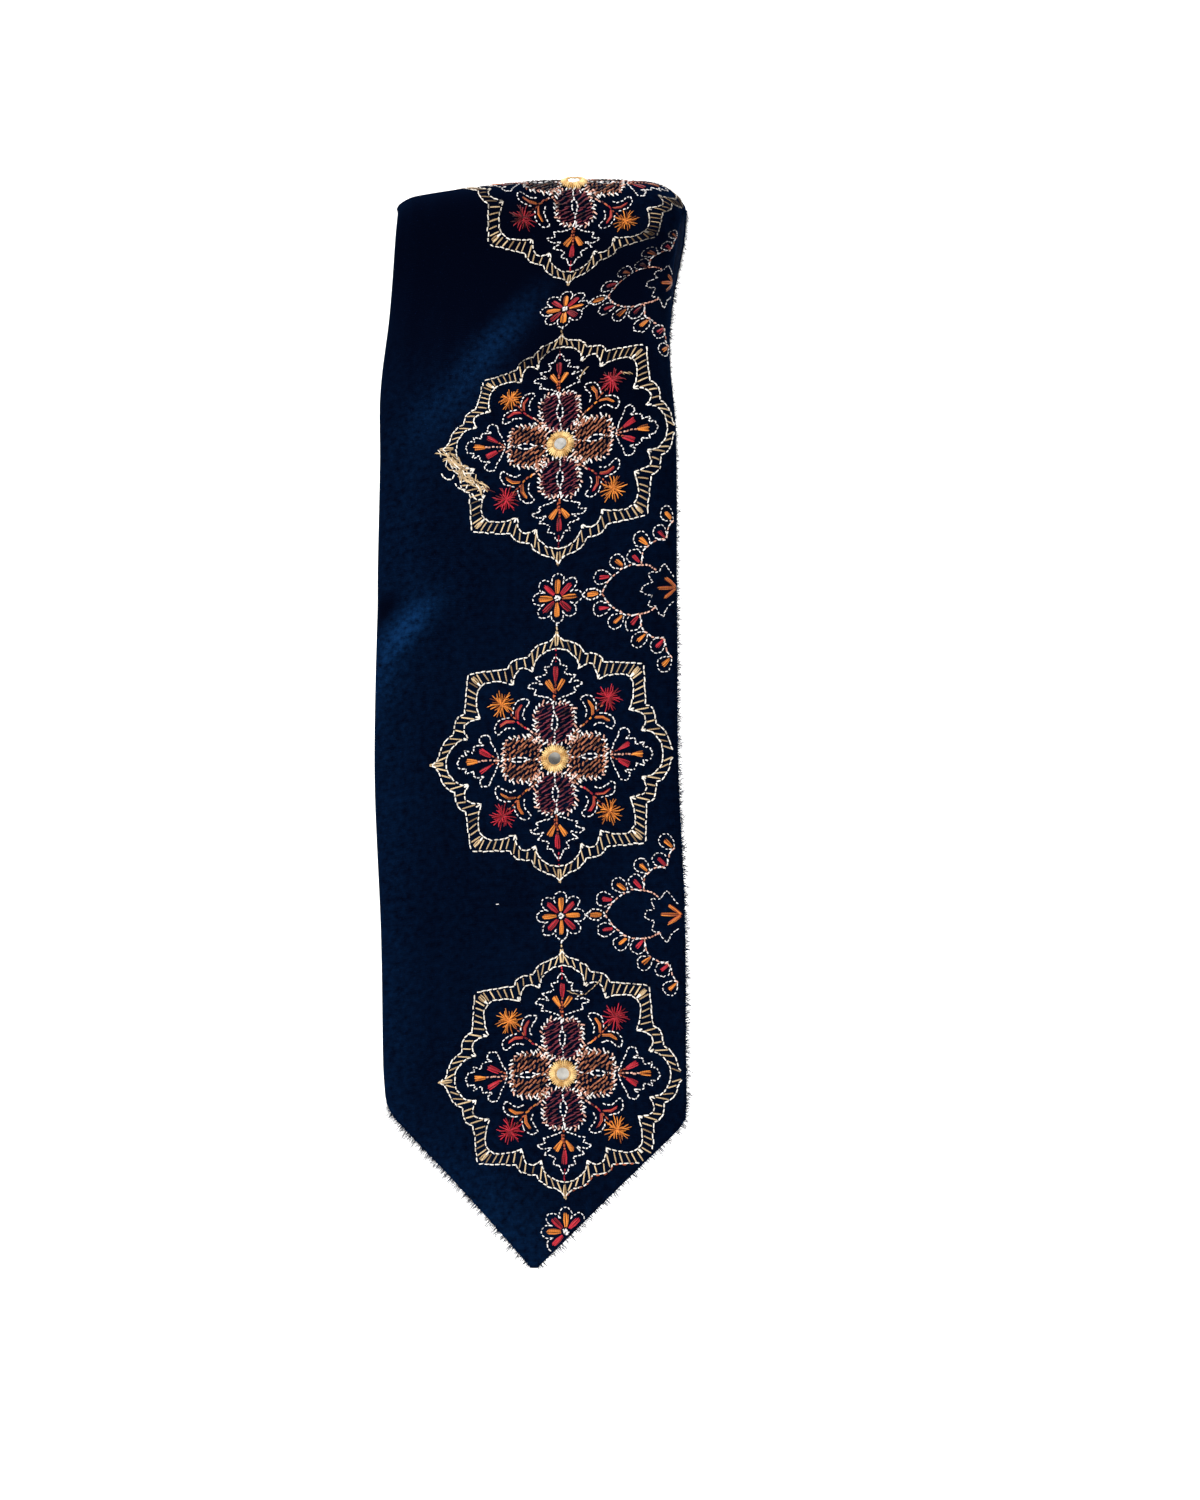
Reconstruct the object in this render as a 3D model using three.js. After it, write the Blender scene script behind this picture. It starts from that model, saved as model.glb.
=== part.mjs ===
// An embroidered velvet crown band: a long strip of velvet with a pointed end, laid over the top of
// the head so that one half hangs down each side of the face. Small round mirrors sit on its pile,
// one in the middle of each embroidered star, and a ring of wound gold thread holds each mirror on.
// Millimetres, +Z up, the hanging front half faces -Y. The origin is on the cloth's underside at the
// top of the arch, where the crown of the head carries it.

import * as THREE from "three";
import { mergeVertices } from "three/addons/utils/BufferGeometryUtils.js";

// The cloth as it was cut. "across" is measured from the line of mirrors, "along" from the strip's middle.
const BAND_LENGTH = 1000; // from tip to tip
const LEFT_CUT = -77; // across, the edge that rolls under
const RIGHT_CUT = 51; // across, the raw edge
const WALL = 1.6; // woven back and pile together
const TIP_ACROSS = -13.5; // where the two slanting cuts of a point meet
const TIP_WIDTH = 3; // a point ends a little blunt
const LEFT_SHOULDER = 75; // along, from a tip to where its left cut starts
const LEFT_SOFTNESS = 8; // the corner there is worn round
const RIGHT_SHOULDER = 61; // along, from a tip to where its right cut starts
const RIGHT_SOFTNESS = 3;

// The form that the cloth lies over.
const ARCH_TOP = -20; // along, the highest place
const DOME = 0.0012; // how fast the arch falls away to its sides, per millimetre squared
const DOME_TOP = 25; // x of its highest line
const LEFT_ROLL_LENGTH = 9.5; // cloth beside the left edge, which turns under
const RIGHT_ROLL_LENGTH = 20; // cloth beside the raw edge, which droops
const LEFT_SEEN = -46; // across, the rows run level beyond it
const ROW_SOFTNESS = 12; // how softly the rows kink at the line of mirrors
const SMALLEST_TURN = 0.001;
const PATH_STEP = 1;

// How the cloth hangs. The front half has negative along.
//   axis: x of the line of mirrors           climb: slope towards the arch's top, degrees
//   left, right: slope of the crosswise rows on each side of the mirrors, degrees
//   roll, droop: how far the left and the right edge have turned from the flat, degrees
const SWAY = [
  { along: -500, axis: 15, climb: 87, left: -4, right: 0, roll: 90, droop: 2 },
  { along: -420, axis: 13.4, climb: 88.5, left: -1, right: 1, roll: 95, droop: 2 },
  { along: -355, axis: 12.7, climb: 90.5, left: 0, right: 2, roll: 92, droop: 4 },
  { along: -290, axis: 10, climb: 90.5, left: -3, right: 4.5, roll: 95, droop: 18 },
  { along: -225, axis: 11.2, climb: 90, left: -4, right: 8, roll: 92, droop: 48 },
  { along: -160, axis: 12.3, climb: 76.5, left: -5, right: 15.5, roll: 80, droop: 62 },
  { along: -125, axis: 11.6, climb: 66, left: -2.5, right: 20, roll: 82, droop: 76 },
  { along: -95, axis: 13.8, climb: 56, left: -7.5, right: 28.5, roll: 72, droop: 84 },
  { along: -70, axis: 16.3, climb: 70, left: -15.5, right: 21.5, roll: 55, droop: 86 },
  { along: -48, axis: 18, climb: 84, left: -17, right: 10, roll: 46, droop: 84 },
  { along: -34, axis: 17.3, climb: 42, left: -12, right: 4, roll: 40, droop: 76 },
  { along: -20, axis: 18.2, climb: 2, left: -6, right: 0.5, roll: 40, droop: 64 },
  { along: 20, axis: 17, climb: -32, left: 0, right: 0, roll: 45, droop: 50 },
  { along: 60, axis: 11.5, climb: -60, left: 0, right: 0, roll: 60, droop: 36 },
  { along: 110, axis: 7.5, climb: -84, left: 0, right: 0, roll: 75, droop: 22 },
  { along: 160, axis: 6, climb: -90, left: 0, right: 0, roll: 85, droop: 12 },
  { along: 300, axis: 5.5, climb: -90, left: 0, right: 0, roll: 90, droop: 5 },
  { along: 500, axis: 7, climb: -87, left: 0, right: 0, roll: 90, droop: 2 },
];

// Soft dents and swells of the pile side: a middle, the way it runs, its reach both ways, its height.
const FOLDS = [
  { along: -239, across: -63, slant: 45, reach: 15, half: 6, height: 2.2 }, // crest at the left edge
  { along: -219, across: -72, slant: 45, reach: 12, half: 7, height: -2.6 }, // hollow above that crest
  { along: -132, across: -24, slant: 52, reach: 42, half: 13, height: 1.6 }, // long swell under the arch
  { along: -150, across: -52, slant: 52, reach: 45, half: 12, height: -1.4 }, // hollow beside it
  { along: -350, across: -45, slant: 80, reach: 60, half: 16, height: 1.2 }, // slow swell low on the front
  { along: 190, across: -30, slant: 115, reach: 50, half: 16, height: 1.4 }, // slow swell on the back
  { along: 330, across: 15, slant: 70, reach: 60, half: 18, height: 1.1 },
];

// The mirrors and their rings.
const FIRST_MIRROR = -420; // along
const MIRROR_PITCH = 130;
const MIRROR_COUNT = 7;
const MIRROR_RADIUS = 3.6;
const MIRROR_THICKNESS = 0.7;
const RING_RADIUS = 6;
const RING_HOLE_RADIUS = 2.7; // its lip hides the mirror's rim
const RING_HEIGHT = 1.9;
const GAP = 0.3; // between neighbouring pieces
const ROUND_SIDES = 24;

// How finely the cloth is faceted: stretches along it, then columns across it.
const ROW_STRETCHES = [
  { to: -425, steps: 9 },
  { to: -150, steps: 20 },
  { to: -84, steps: 11 },
  { to: 0, steps: 21 },
  { to: 160, steps: 20 },
  { to: 425, steps: 16 },
  { to: 500, steps: 9 },
];
const LEFT_ROLL_COLUMNS = 4;
const FLAT_COLUMNS = 10;
const RIGHT_ROLL_COLUMNS = 6;

const HALF_LENGTH = BAND_LENGTH / 2;
const LEFT_FLAT = LEFT_CUT + LEFT_ROLL_LENGTH;
const RIGHT_FLAT = RIGHT_CUT - RIGHT_ROLL_LENGTH;

const MATERIALS = {
  velvet: new THREE.MeshStandardMaterial({ color: 0x04102a, roughness: 0.95, metalness: 0 }),
  goldThread: new THREE.MeshStandardMaterial({ color: 0xd9a24e, roughness: 0.4, metalness: 0.3 }),
  mirror: new THREE.MeshStandardMaterial({ color: 0xd8d8d6, roughness: 0.06, metalness: 1 }),
};

// One column of the sway table at a place along the cloth, on a smooth curve through its rows.
function sway(column, along) {
  const last = SWAY.length - 1;
  let i = 0;
  while (i < last - 1 && SWAY[i + 1].along < along) i += 1;
  const rows = [i - 1, i, i + 1, i + 2].map((k) => SWAY[Math.min(last, Math.max(0, k))]);
  const span = rows[2].along - rows[1].along;
  const slope = (a, b) => ((b[column] - a[column]) / Math.max(1, b.along - a.along)) * span;
  const t = (along - rows[1].along) / span;
  const keep = (1 + 2 * t) * (1 - t) ** 2;
  const start = slope(rows[0], rows[2]) * t * (1 - t) ** 2;
  const end = slope(rows[1], rows[3]) * t * t * (t - 1);
  return rows[1][column] * keep + rows[2][column] * (1 - keep) + start + end;
}

// How far the folds lift the cloth off its plain form.
function foldHeight(along, across) {
  let height = 0;
  for (const fold of FOLDS) {
    const slant = THREE.MathUtils.degToRad(fold.slant);
    const da = along - fold.along;
    const dc = across - fold.across;
    const lengthwise = (dc * Math.cos(slant) + da * Math.sin(slant)) / fold.reach;
    const sideways = (da * Math.cos(slant) - dc * Math.sin(slant)) / fold.half;
    height += fold.height * Math.exp(-(lengthwise ** 2) - sideways ** 2);
  }
  return height;
}

// The path of the line of mirrors over the head, in even steps: its y, its z and its slope.
function layPath() {
  const path = [];
  for (let along = -HALF_LENGTH; along <= HALF_LENGTH; along += PATH_STEP) {
    const climb = THREE.MathUtils.degToRad(sway("climb", along));
    const before = path[path.length - 1] ?? { y: 0, z: 0, climb };
    const mean = (before.climb + climb) / 2;
    path.push({ y: before.y + PATH_STEP * Math.cos(mean), z: before.z + PATH_STEP * Math.sin(mean), climb });
  }
  const top = path[(ARCH_TOP + HALF_LENGTH) / PATH_STEP];
  return path.map(({ y, z, climb }) => ({ y: y - top.y, z: z - top.z, climb }));
}

const PATH = layPath();

// The path at any place; past a tip it runs straight on.
function pathAt(along) {
  const place = (along + HALF_LENGTH) / PATH_STEP;
  const i = THREE.MathUtils.clamp(Math.floor(place), 0, PATH.length - 2);
  const t = place - i;
  const between = (key) => PATH[i][key] + (PATH[i + 1][key] - PATH[i][key]) * t;
  return { y: between("y"), z: between("z"), climb: between("climb") };
}

// The crosswise section: x from the line of mirrors, how far it sinks, and the way its pile faces.
function section(along, across) {
  const rolled = THREE.MathUtils.degToRad(sway("roll", along)) / LEFT_ROLL_LENGTH;
  const drooped = THREE.MathUtils.degToRad(sway("droop", along)) / RIGHT_ROLL_LENGTH;
  const flat = THREE.MathUtils.clamp(across, LEFT_FLAT, RIGHT_FLAT);
  const rate = Math.max(SMALLEST_TURN, across < LEFT_FLAT ? rolled : drooped);
  const turn = (across - flat) * rate;
  return { x: flat + Math.sin(turn) / rate, sink: (1 - Math.cos(turn)) / rate, turn };
}

// How far along the path a spot of the cloth lies, with the slope of its crosswise row.
function rowShift(along, across) {
  const soft = Math.hypot(across, ROW_SOFTNESS) - ROW_SOFTNESS;
  const leftPart = Math.max((across - soft) / 2, LEFT_SEEN);
  const rightPart = (across + soft) / 2;
  const rise = (column) => Math.tan(THREE.MathUtils.degToRad(sway(column, along)));
  return leftPart * rise("left") + rightPart * rise("right");
}

// A point of the draped cloth, lift millimetres above its underside.
function clothPoint(along, across, lift) {
  const cut = section(along, across);
  const x = cut.x + sway("axis", along);
  const path = pathAt(along + rowShift(along, across));
  const drop = DOME * ((x - DOME_TOP) ** 2 - DOME_TOP ** 2);
  const outward = new THREE.Vector3(0, -Math.sin(path.climb), Math.cos(path.climb));
  const point = new THREE.Vector3(x, path.y, path.z - drop);
  point.addScaledVector(outward, foldHeight(along, across) - cut.sink + lift * Math.cos(cut.turn));
  point.x += lift * Math.sin(cut.turn);
  return point;
}

// The cloth's cut edges at a place along it: the plain edge, or the slanting cut of a point if that is nearer.
function cutEdge(along, side) {
  const plain = side < 0 ? LEFT_CUT : RIGHT_CUT;
  const shoulder = side < 0 ? LEFT_SHOULDER : RIGHT_SHOULDER;
  const softness = side < 0 ? LEFT_SOFTNESS : RIGHT_SOFTNESS;
  const tip = TIP_ACROSS + (side * TIP_WIDTH) / 2;
  const slanting = tip + ((plain - tip) * (HALF_LENGTH - Math.abs(along))) / shoulder;
  return (plain + slanting - side * Math.hypot(plain - slanting, softness)) / 2;
}

// Even steps between stops: [{ to, steps }, ...] after a start, as one list.
function stops(start, stretches) {
  const list = [start];
  for (const { to, steps } of stretches) {
    const from = list[list.length - 1];
    for (let i = 1; i <= steps; i += 1) list.push(from + ((to - from) * i) / steps);
  }
  return list;
}

function solidGeometry(geometry) {
  geometry.deleteAttribute("normal");
  geometry.deleteAttribute("uv");
  const merged = mergeVertices(geometry, 1e-4);
  merged.computeVertexNormals();
  return merged;
}

// The velvet: a flat strip with its pointed ends, then laid over the head.
function velvetBand() {
  const rows = stops(-HALF_LENGTH, ROW_STRETCHES);
  const columns = stops(LEFT_CUT, [
    { to: LEFT_FLAT, steps: LEFT_ROLL_COLUMNS },
    { to: RIGHT_FLAT, steps: FLAT_COLUMNS },
    { to: RIGHT_CUT, steps: RIGHT_ROLL_COLUMNS },
  ]);
  const width = RIGHT_CUT - LEFT_CUT;
  const across = columns.length - 1;
  const strip = new THREE.BoxGeometry(across, rows.length - 1, WALL, across, rows.length - 1, 1);
  const at = strip.getAttribute("position");
  for (let i = 0; i < at.count; i += 1) {
    const column = columns[Math.round(at.getX(i) + across / 2)];
    const along = rows[Math.round(at.getY(i) + (rows.length - 1) / 2)];
    const left = cutEdge(along, -1);
    const right = cutEdge(along, 1);
    const place = left + ((right - left) * (column - LEFT_CUT)) / width;
    const point = clothPoint(along, place, at.getZ(i) > 0 ? WALL : 0);
    at.setXYZ(i, point.x, point.y, point.z);
  }
  const mesh = new THREE.Mesh(solidGeometry(strip), MATERIALS.velvet);
  mesh.name = "velvet_band";
  return mesh;
}

// A solid turned about its own +Z from a profile of [radius, height] pairs.
function turned(name, profile, material) {
  const outline = profile.map(([radius, height]) => new THREE.Vector2(radius, height));
  const lathe = new THREE.LatheGeometry(outline, ROUND_SIDES).rotateX(Math.PI / 2);
  const mesh = new THREE.Mesh(solidGeometry(lathe), material);
  mesh.name = name;
  return mesh;
}

function mirror(number) {
  const top = GAP + MIRROR_THICKNESS;
  const profile = [
    [0, GAP],
    [MIRROR_RADIUS, GAP],
    [MIRROR_RADIUS, top],
    [0, top],
  ];
  return turned(`mirror_${number}`, profile, MATERIALS.mirror);
}

// The ring stands round the mirror's rim, and its lip reaches in over the mirror.
function mirrorRing(number) {
  const bore = MIRROR_RADIUS + GAP;
  const lip = GAP + MIRROR_THICKNESS + GAP;
  const crest = (bore + RING_RADIUS) / 2;
  const profile = [
    [bore, GAP],
    [RING_RADIUS, GAP],
    [RING_RADIUS, RING_HEIGHT / 2],
    [crest, RING_HEIGHT],
    [RING_HOLE_RADIUS, lip + GAP],
    [RING_HOLE_RADIUS, lip],
    [bore, lip],
    [bore, GAP],
  ];
  return turned(`mirror_ring_${number}`, profile, MATERIALS.goldThread);
}

// A mirror in its ring, standing on the pile with +Z out of the cloth.
function mirrorSetting(number, along) {
  const step = MIRROR_RADIUS;
  const middle = clothPoint(along, 0, WALL);
  const sideways = clothPoint(along, step, WALL).sub(clothPoint(along, -step, WALL)).normalize();
  const lengthwise = clothPoint(along + step, 0, WALL).sub(clothPoint(along - step, 0, WALL));
  const outward = sideways.clone().cross(lengthwise).normalize();
  const upward = outward.clone().cross(sideways);
  const setting = new THREE.Group();
  setting.position.copy(middle);
  setting.quaternion.setFromRotationMatrix(new THREE.Matrix4().makeBasis(sideways, upward, outward));
  setting.add(mirror(number), mirrorRing(number));
  return setting;
}

const crownBand = new THREE.Group();
crownBand.add(velvetBand());
for (let i = 0; i < MIRROR_COUNT; i += 1) {
  crownBand.add(mirrorSetting(i + 1, FIRST_MIRROR + i * MIRROR_PITCH));
}

export default crownBand;
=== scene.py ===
# %% [markdown]
# An embroidered velvet crown band. The real thing is one strip of navy velvet, about a metre long and cut
# to a point at each end, that is worn bent into an arch. Stars of machine embroidery run down it, each
# round a small mirror. The lesson's one big idea: a single formula says where every spot of the flat
# cloth ends up once it hangs. The cloth is bent by it, and every stitch is then laid out flat and bent by
# it too, so thread and cloth can never drift apart.

# %% Load the frame
import math

import bmesh
import bpy
import numpy as np
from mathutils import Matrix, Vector


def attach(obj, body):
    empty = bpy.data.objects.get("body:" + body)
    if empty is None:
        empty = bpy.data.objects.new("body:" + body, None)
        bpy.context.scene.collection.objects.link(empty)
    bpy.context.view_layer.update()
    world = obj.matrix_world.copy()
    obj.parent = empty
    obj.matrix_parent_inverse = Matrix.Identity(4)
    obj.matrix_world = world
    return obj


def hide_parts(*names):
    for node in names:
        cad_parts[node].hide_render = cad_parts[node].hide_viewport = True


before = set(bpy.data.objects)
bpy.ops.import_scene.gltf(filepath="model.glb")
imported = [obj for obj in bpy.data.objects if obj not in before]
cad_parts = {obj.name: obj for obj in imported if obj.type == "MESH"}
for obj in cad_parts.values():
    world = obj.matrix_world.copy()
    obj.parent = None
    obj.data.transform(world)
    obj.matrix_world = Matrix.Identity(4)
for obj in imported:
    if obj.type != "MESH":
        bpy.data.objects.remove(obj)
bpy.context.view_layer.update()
BODY = "root"
MM = 0.001
chance = np.random.default_rng(41)
print("frame nodes:", len(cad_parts))

# %% [markdown]
# The camera comes first, so that every later step can be checked against the photograph. A level view
# with a short telephoto lens is enough: the distance is a guess that suits a hand-held picture, and the
# lens follows from it and from the scale of the picture, 0.41 mm for each pixel on the front of the
# cloth.

# %% Camera
PHOTO_WIDTH, PHOTO_HEIGHT = 1200, 1500
PIXEL = 0.41 * MM
FRONT_Y = -0.0735
CAMERA_DISTANCE = 1.2
ZERO_X_PIXEL = 530
PHOTO_MIDDLE_Z = -0.2453

eye = bpy.data.cameras.new("photo_camera")
eye.sensor_width = 36
eye.lens = CAMERA_DISTANCE / PIXEL / PHOTO_HEIGHT * eye.sensor_width
camera = bpy.data.objects.new("photo_camera", eye)
camera.location = ((PHOTO_WIDTH / 2 - ZERO_X_PIXEL) * PIXEL, FRONT_Y - CAMERA_DISTANCE, PHOTO_MIDDLE_Z)
camera.rotation_euler = (math.radians(90), 0, 0)
bpy.context.scene.collection.objects.link(camera)
bpy.context.scene.camera = camera
print("lens:", round(eye.lens, 1), "mm")

# %% [markdown]
# How the flat cloth hangs. "across" is measured from the line of mirrors and "along" from the middle of
# the strip, both in millimetres on the flat cloth, and the half that shows in front has negative along. A
# cloth simulation could drape the strip, but it would end a little differently from the solid that it
# stands for. A formula with a short table of how the cloth sways and one of its soft folds gives the same
# form in both. The path over the arch is drawn by its slope alone: walking along the cloth, one goes up
# the front, over the top and down the back, and adding up small steps gives every height.

# %% The cut and the hang of the cloth, in millimetres
HALF_LENGTH = 500
LEFT_CUT, RIGHT_CUT = -77, 51
WALL = 1.6
TIP_ACROSS, TIP_WIDTH = -13.5, 3
LEFT_SHOULDER, LEFT_SOFTNESS = 75, 8
RIGHT_SHOULDER, RIGHT_SOFTNESS = 61, 3
ARCH_TOP = -20
DOME, DOME_TOP = 0.0012, 25
LEFT_ROLL_LENGTH, RIGHT_ROLL_LENGTH = 9.5, 20
LEFT_FLAT, RIGHT_FLAT = LEFT_CUT + LEFT_ROLL_LENGTH, RIGHT_CUT - RIGHT_ROLL_LENGTH
LEFT_SEEN, ROW_SOFTNESS = -46, 12
SMALLEST_TURN = 0.001

SWAY_COLUMNS = ("along", "axis", "climb", "left", "right", "roll", "droop")
SWAY = np.array([
    (-500, 15.0, 87.0, -4.0, 0.0, 90, 2),
    (-420, 13.4, 88.5, -1.0, 1.0, 95, 2),
    (-355, 12.7, 90.5, 0.0, 2.0, 92, 4),
    (-290, 10.0, 90.5, -3.0, 4.5, 95, 18),
    (-225, 11.2, 90.0, -4.0, 8.0, 92, 48),
    (-160, 12.3, 76.5, -5.0, 15.5, 80, 62),
    (-125, 11.6, 66.0, -2.5, 20.0, 82, 76),
    (-95, 13.8, 56.0, -7.5, 28.5, 72, 84),
    (-70, 16.3, 70.0, -15.5, 21.5, 55, 86),
    (-48, 18.0, 84.0, -17.0, 10.0, 46, 84),
    (-34, 17.3, 42.0, -12.0, 4.0, 40, 76),
    (-20, 18.2, 2.0, -6.0, 0.5, 40, 64),
    (20, 17.0, -32.0, 0.0, 0.0, 45, 50),
    (60, 11.5, -60.0, 0.0, 0.0, 60, 36),
    (110, 7.5, -84.0, 0.0, 0.0, 75, 22),
    (160, 6.0, -90.0, 0.0, 0.0, 85, 12),
    (300, 5.5, -90.0, 0.0, 0.0, 90, 5),
    (500, 7.0, -87.0, 0.0, 0.0, 90, 2),
])

PATCH_COLUMNS = ("along", "across", "slant", "reach", "half", "height")
FOLDS = (
    (-239, -63, 45, 15, 6, 2.2),
    (-219, -72, 45, 12, 7, -2.6),
    (-132, -24, 52, 42, 13, 1.6),
    (-150, -52, 52, 45, 12, -1.4),
    (-350, -45, 80, 60, 16, 1.2),
    (190, -30, 115, 50, 16, 1.4),
    (330, 15, 70, 60, 18, 1.1),
)


def sway(column, along):
    """One column of the sway table, on a smooth curve through its rows."""
    places = SWAY[:, 0]
    values = SWAY[:, SWAY_COLUMNS.index(column)]
    last = len(places) - 1
    i = np.clip(np.searchsorted(places, along) - 1, 0, last - 1)
    before, after = np.maximum(i - 1, 0), np.minimum(i + 2, last)
    span = places[i + 1] - places[i]
    t = (along - places[i]) / span
    leave = (values[i + 1] - values[before]) / (places[i + 1] - places[before]) * span
    arrive = (values[after] - values[i]) / (places[after] - places[i]) * span
    keep = (1 + 2 * t) * (1 - t) ** 2
    bent = leave * t * (1 - t) ** 2 + arrive * t * t * (t - 1)
    return values[i] * keep + values[i + 1] * (1 - keep) + bent


def walk_over_arch():
    """The path of the line of mirrors, a step for each millimetre: along, y, z and slope."""
    along = np.arange(-HALF_LENGTH, HALF_LENGTH + 1.0)
    climb = np.radians(sway("climb", along))
    mean = (climb[1:] + climb[:-1]) / 2
    y = np.concatenate([[0], np.cumsum(np.cos(mean))])
    z = np.concatenate([[0], np.cumsum(np.sin(mean))])
    top = HALF_LENGTH + ARCH_TOP
    return along, y - y[top], z - z[top], climb


PATH_ALONG, PATH_Y, PATH_Z, PATH_CLIMB = walk_over_arch()
print("front of the cloth at y", PATH_Y.min().round(1), "and its back at y", PATH_Y.max().round(1))


# %% The drape: from a place on the flat cloth to a point in space
def patches(table, along, across):
    """The summed height of soft slanting patches, at places on the flat cloth."""
    total = np.zeros(np.broadcast(along, across).shape)
    for row in table:
        patch = dict(zip(PATCH_COLUMNS, row))
        turn = math.radians(patch["slant"])
        aside, ahead = across - patch["across"], along - patch["along"]
        lengthwise = aside * math.cos(turn) + ahead * math.sin(turn)
        sideways = ahead * math.cos(turn) - aside * math.sin(turn)
        distance = (lengthwise / patch["reach"]) ** 2 + (sideways / patch["half"]) ** 2
        total += patch["height"] * np.exp(-distance)
    return total


def row_shift(along, across):
    """How far a spot moves along the path because its crosswise row slopes."""
    soft = np.hypot(across, ROW_SOFTNESS) - ROW_SOFTNESS
    left_part = np.maximum((across - soft) / 2, LEFT_SEEN)
    right_part = (across + soft) / 2
    left_tilt, right_tilt = (np.tan(np.radians(sway(side, along))) for side in ("left", "right"))
    return left_part * left_tilt + right_part * right_tilt


def drape(along, across, lift):
    """Where spots of the flat cloth hang, in metres, lift millimetres above the cloth's underside."""
    flat = np.clip(across, LEFT_FLAT, RIGHT_FLAT)
    rolled = np.radians(sway("roll", along)) / LEFT_ROLL_LENGTH
    drooped = np.radians(sway("droop", along)) / RIGHT_ROLL_LENGTH
    rate = np.maximum(np.where(across < LEFT_FLAT, rolled, drooped), SMALLEST_TURN)
    turn = (across - flat) * rate
    sink = (1 - np.cos(turn)) / rate
    x = flat + np.sin(turn) / rate + sway("axis", along)
    place = along + row_shift(along, across)
    past = place - np.clip(place, -HALF_LENGTH, HALF_LENGTH)
    climb = np.interp(place, PATH_ALONG, PATH_CLIMB)
    drop = DOME * ((x - DOME_TOP) ** 2 - DOME_TOP ** 2)
    out = patches(FOLDS, along, across) - sink + lift * np.cos(turn)
    y = np.interp(place, PATH_ALONG, PATH_Y) + past * np.cos(climb) - out * np.sin(climb)
    z = np.interp(place, PATH_ALONG, PATH_Z) + past * np.sin(climb) + out * np.cos(climb) - drop
    return MM * np.stack([x + lift * np.sin(turn), y, z], axis=-1)


def cut_edges(along):
    """The cloth's two cut edges: the plain edge, or a point's slanting cut where that is nearer."""
    edges = []
    for side, plain, shoulder, softness in ((-1, LEFT_CUT, LEFT_SHOULDER, LEFT_SOFTNESS),
                                            (1, RIGHT_CUT, RIGHT_SHOULDER, RIGHT_SOFTNESS)):
        tip = TIP_ACROSS + side * TIP_WIDTH / 2
        slanting = tip + (plain - tip) * (HALF_LENGTH - np.abs(along)) / shoulder
        edges.append((plain + slanting - side * np.hypot(plain - slanting, softness)) / 2)
    return edges


arch_place, tip_place = drape(ARCH_TOP, 0, 0), drape(-HALF_LENGTH, TIP_ACROSS, 0)
print("arch top:", arch_place.round(4), "front tip:", tip_place.round(4))

# %% [markdown]
# Materials are trees of nodes, and a few helpers keep their code short. The first fills an input with a
# plain value or links it from another node. The next ones make a node and fill its inputs, or hand back
# the output of the kinds that come up again and again: a mix of two colours, a sum, a noise and a row of
# waves. The last one feeds a finished colour, roughness and bump into the Principled shader.


# %% Helpers for node trees
def fill(tree, socket, value):
    """Set an input to a plain value, or link it from an output socket."""
    if isinstance(value, bpy.types.NodeSocket):
        tree.links.new(value, socket)
    else:
        socket.default_value = value


def add(tree, kind, inputs=None, **properties):
    """Make a node with these properties and inputs."""
    made = tree.nodes.new(kind)
    for name, value in properties.items():
        setattr(made, name, value)
    for name, value in (inputs or {}).items():
        fill(tree, made.inputs[name], value)
    return made


def new_group(name, inputs, outputs):
    """An empty shader group with named sockets, and its two end nodes."""
    group = bpy.data.node_groups.new(name, "ShaderNodeTree")
    for direction, sockets in (("INPUT", inputs), ("OUTPUT", outputs)):
        for socket, kind in sockets.items():
            group.interface.new_socket(socket, in_out=direction, socket_type=f"NodeSocket{kind}")
    return group, group.nodes.new("NodeGroupInput"), group.nodes.new("NodeGroupOutput")


def new_material(name):
    """A material with its node tree and its Principled shader."""
    material = bpy.data.materials.new(name)
    material.use_nodes = True
    return material, material.node_tree, material.node_tree.nodes["Principled BSDF"]


MIX_FACTOR, MIX_FIRST, MIX_SECOND, MIX_COLOUR = 0, 6, 7, 2


def mixed(tree, factor, first, second):
    """The colour output of a Mix node, whose sockets are told apart by number."""
    inputs = {MIX_FACTOR: factor, MIX_FIRST: first, MIX_SECOND: second}
    return add(tree, "ShaderNodeMix", data_type="RGBA", inputs=inputs).outputs[MIX_COLOUR]


def math_node(tree, operation, *values):
    """The output of a Math node with these values or links."""
    made = add(tree, "ShaderNodeMath", dict(enumerate(values)), operation=operation)
    return made.outputs[0]


def noise(tree, place, scale, detail, roughness=0.5):
    """The value of a Noise texture."""
    inputs = {"Vector": place, "Scale": scale, "Detail": detail, "Roughness": roughness}
    return add(tree, "ShaderNodeTexNoise", inputs).outputs["Fac"]


def waves(tree, place, direction, scale, distortion):
    """The value of a Wave texture, in bands that follow one another along a direction."""
    inputs = {"Vector": place, "Scale": scale, "Distortion": distortion}
    return add(tree, "ShaderNodeTexWave", inputs, bands_direction=direction).outputs["Fac"]


def stretched(tree, place, scale):
    """A place on the cloth, scaled differently each way, to draw a texture out into streaks."""
    return add(tree, "ShaderNodeMapping", {"Vector": place, "Scale": scale}).outputs["Vector"]


def dress(tree, shader, colour, roughness, height, strength, distance):
    """Feed a shader its colour, its roughness and a bump of this height."""
    bump = add(tree, "ShaderNodeBump", {"Height": height, "Strength": strength, "Distance": distance})
    inputs = {"Base Color": colour, "Roughness": roughness, "Normal": bump.outputs["Normal"]}
    for name, value in inputs.items():
        fill(tree, shader.inputs[name], value)


print("node helpers ready")
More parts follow.
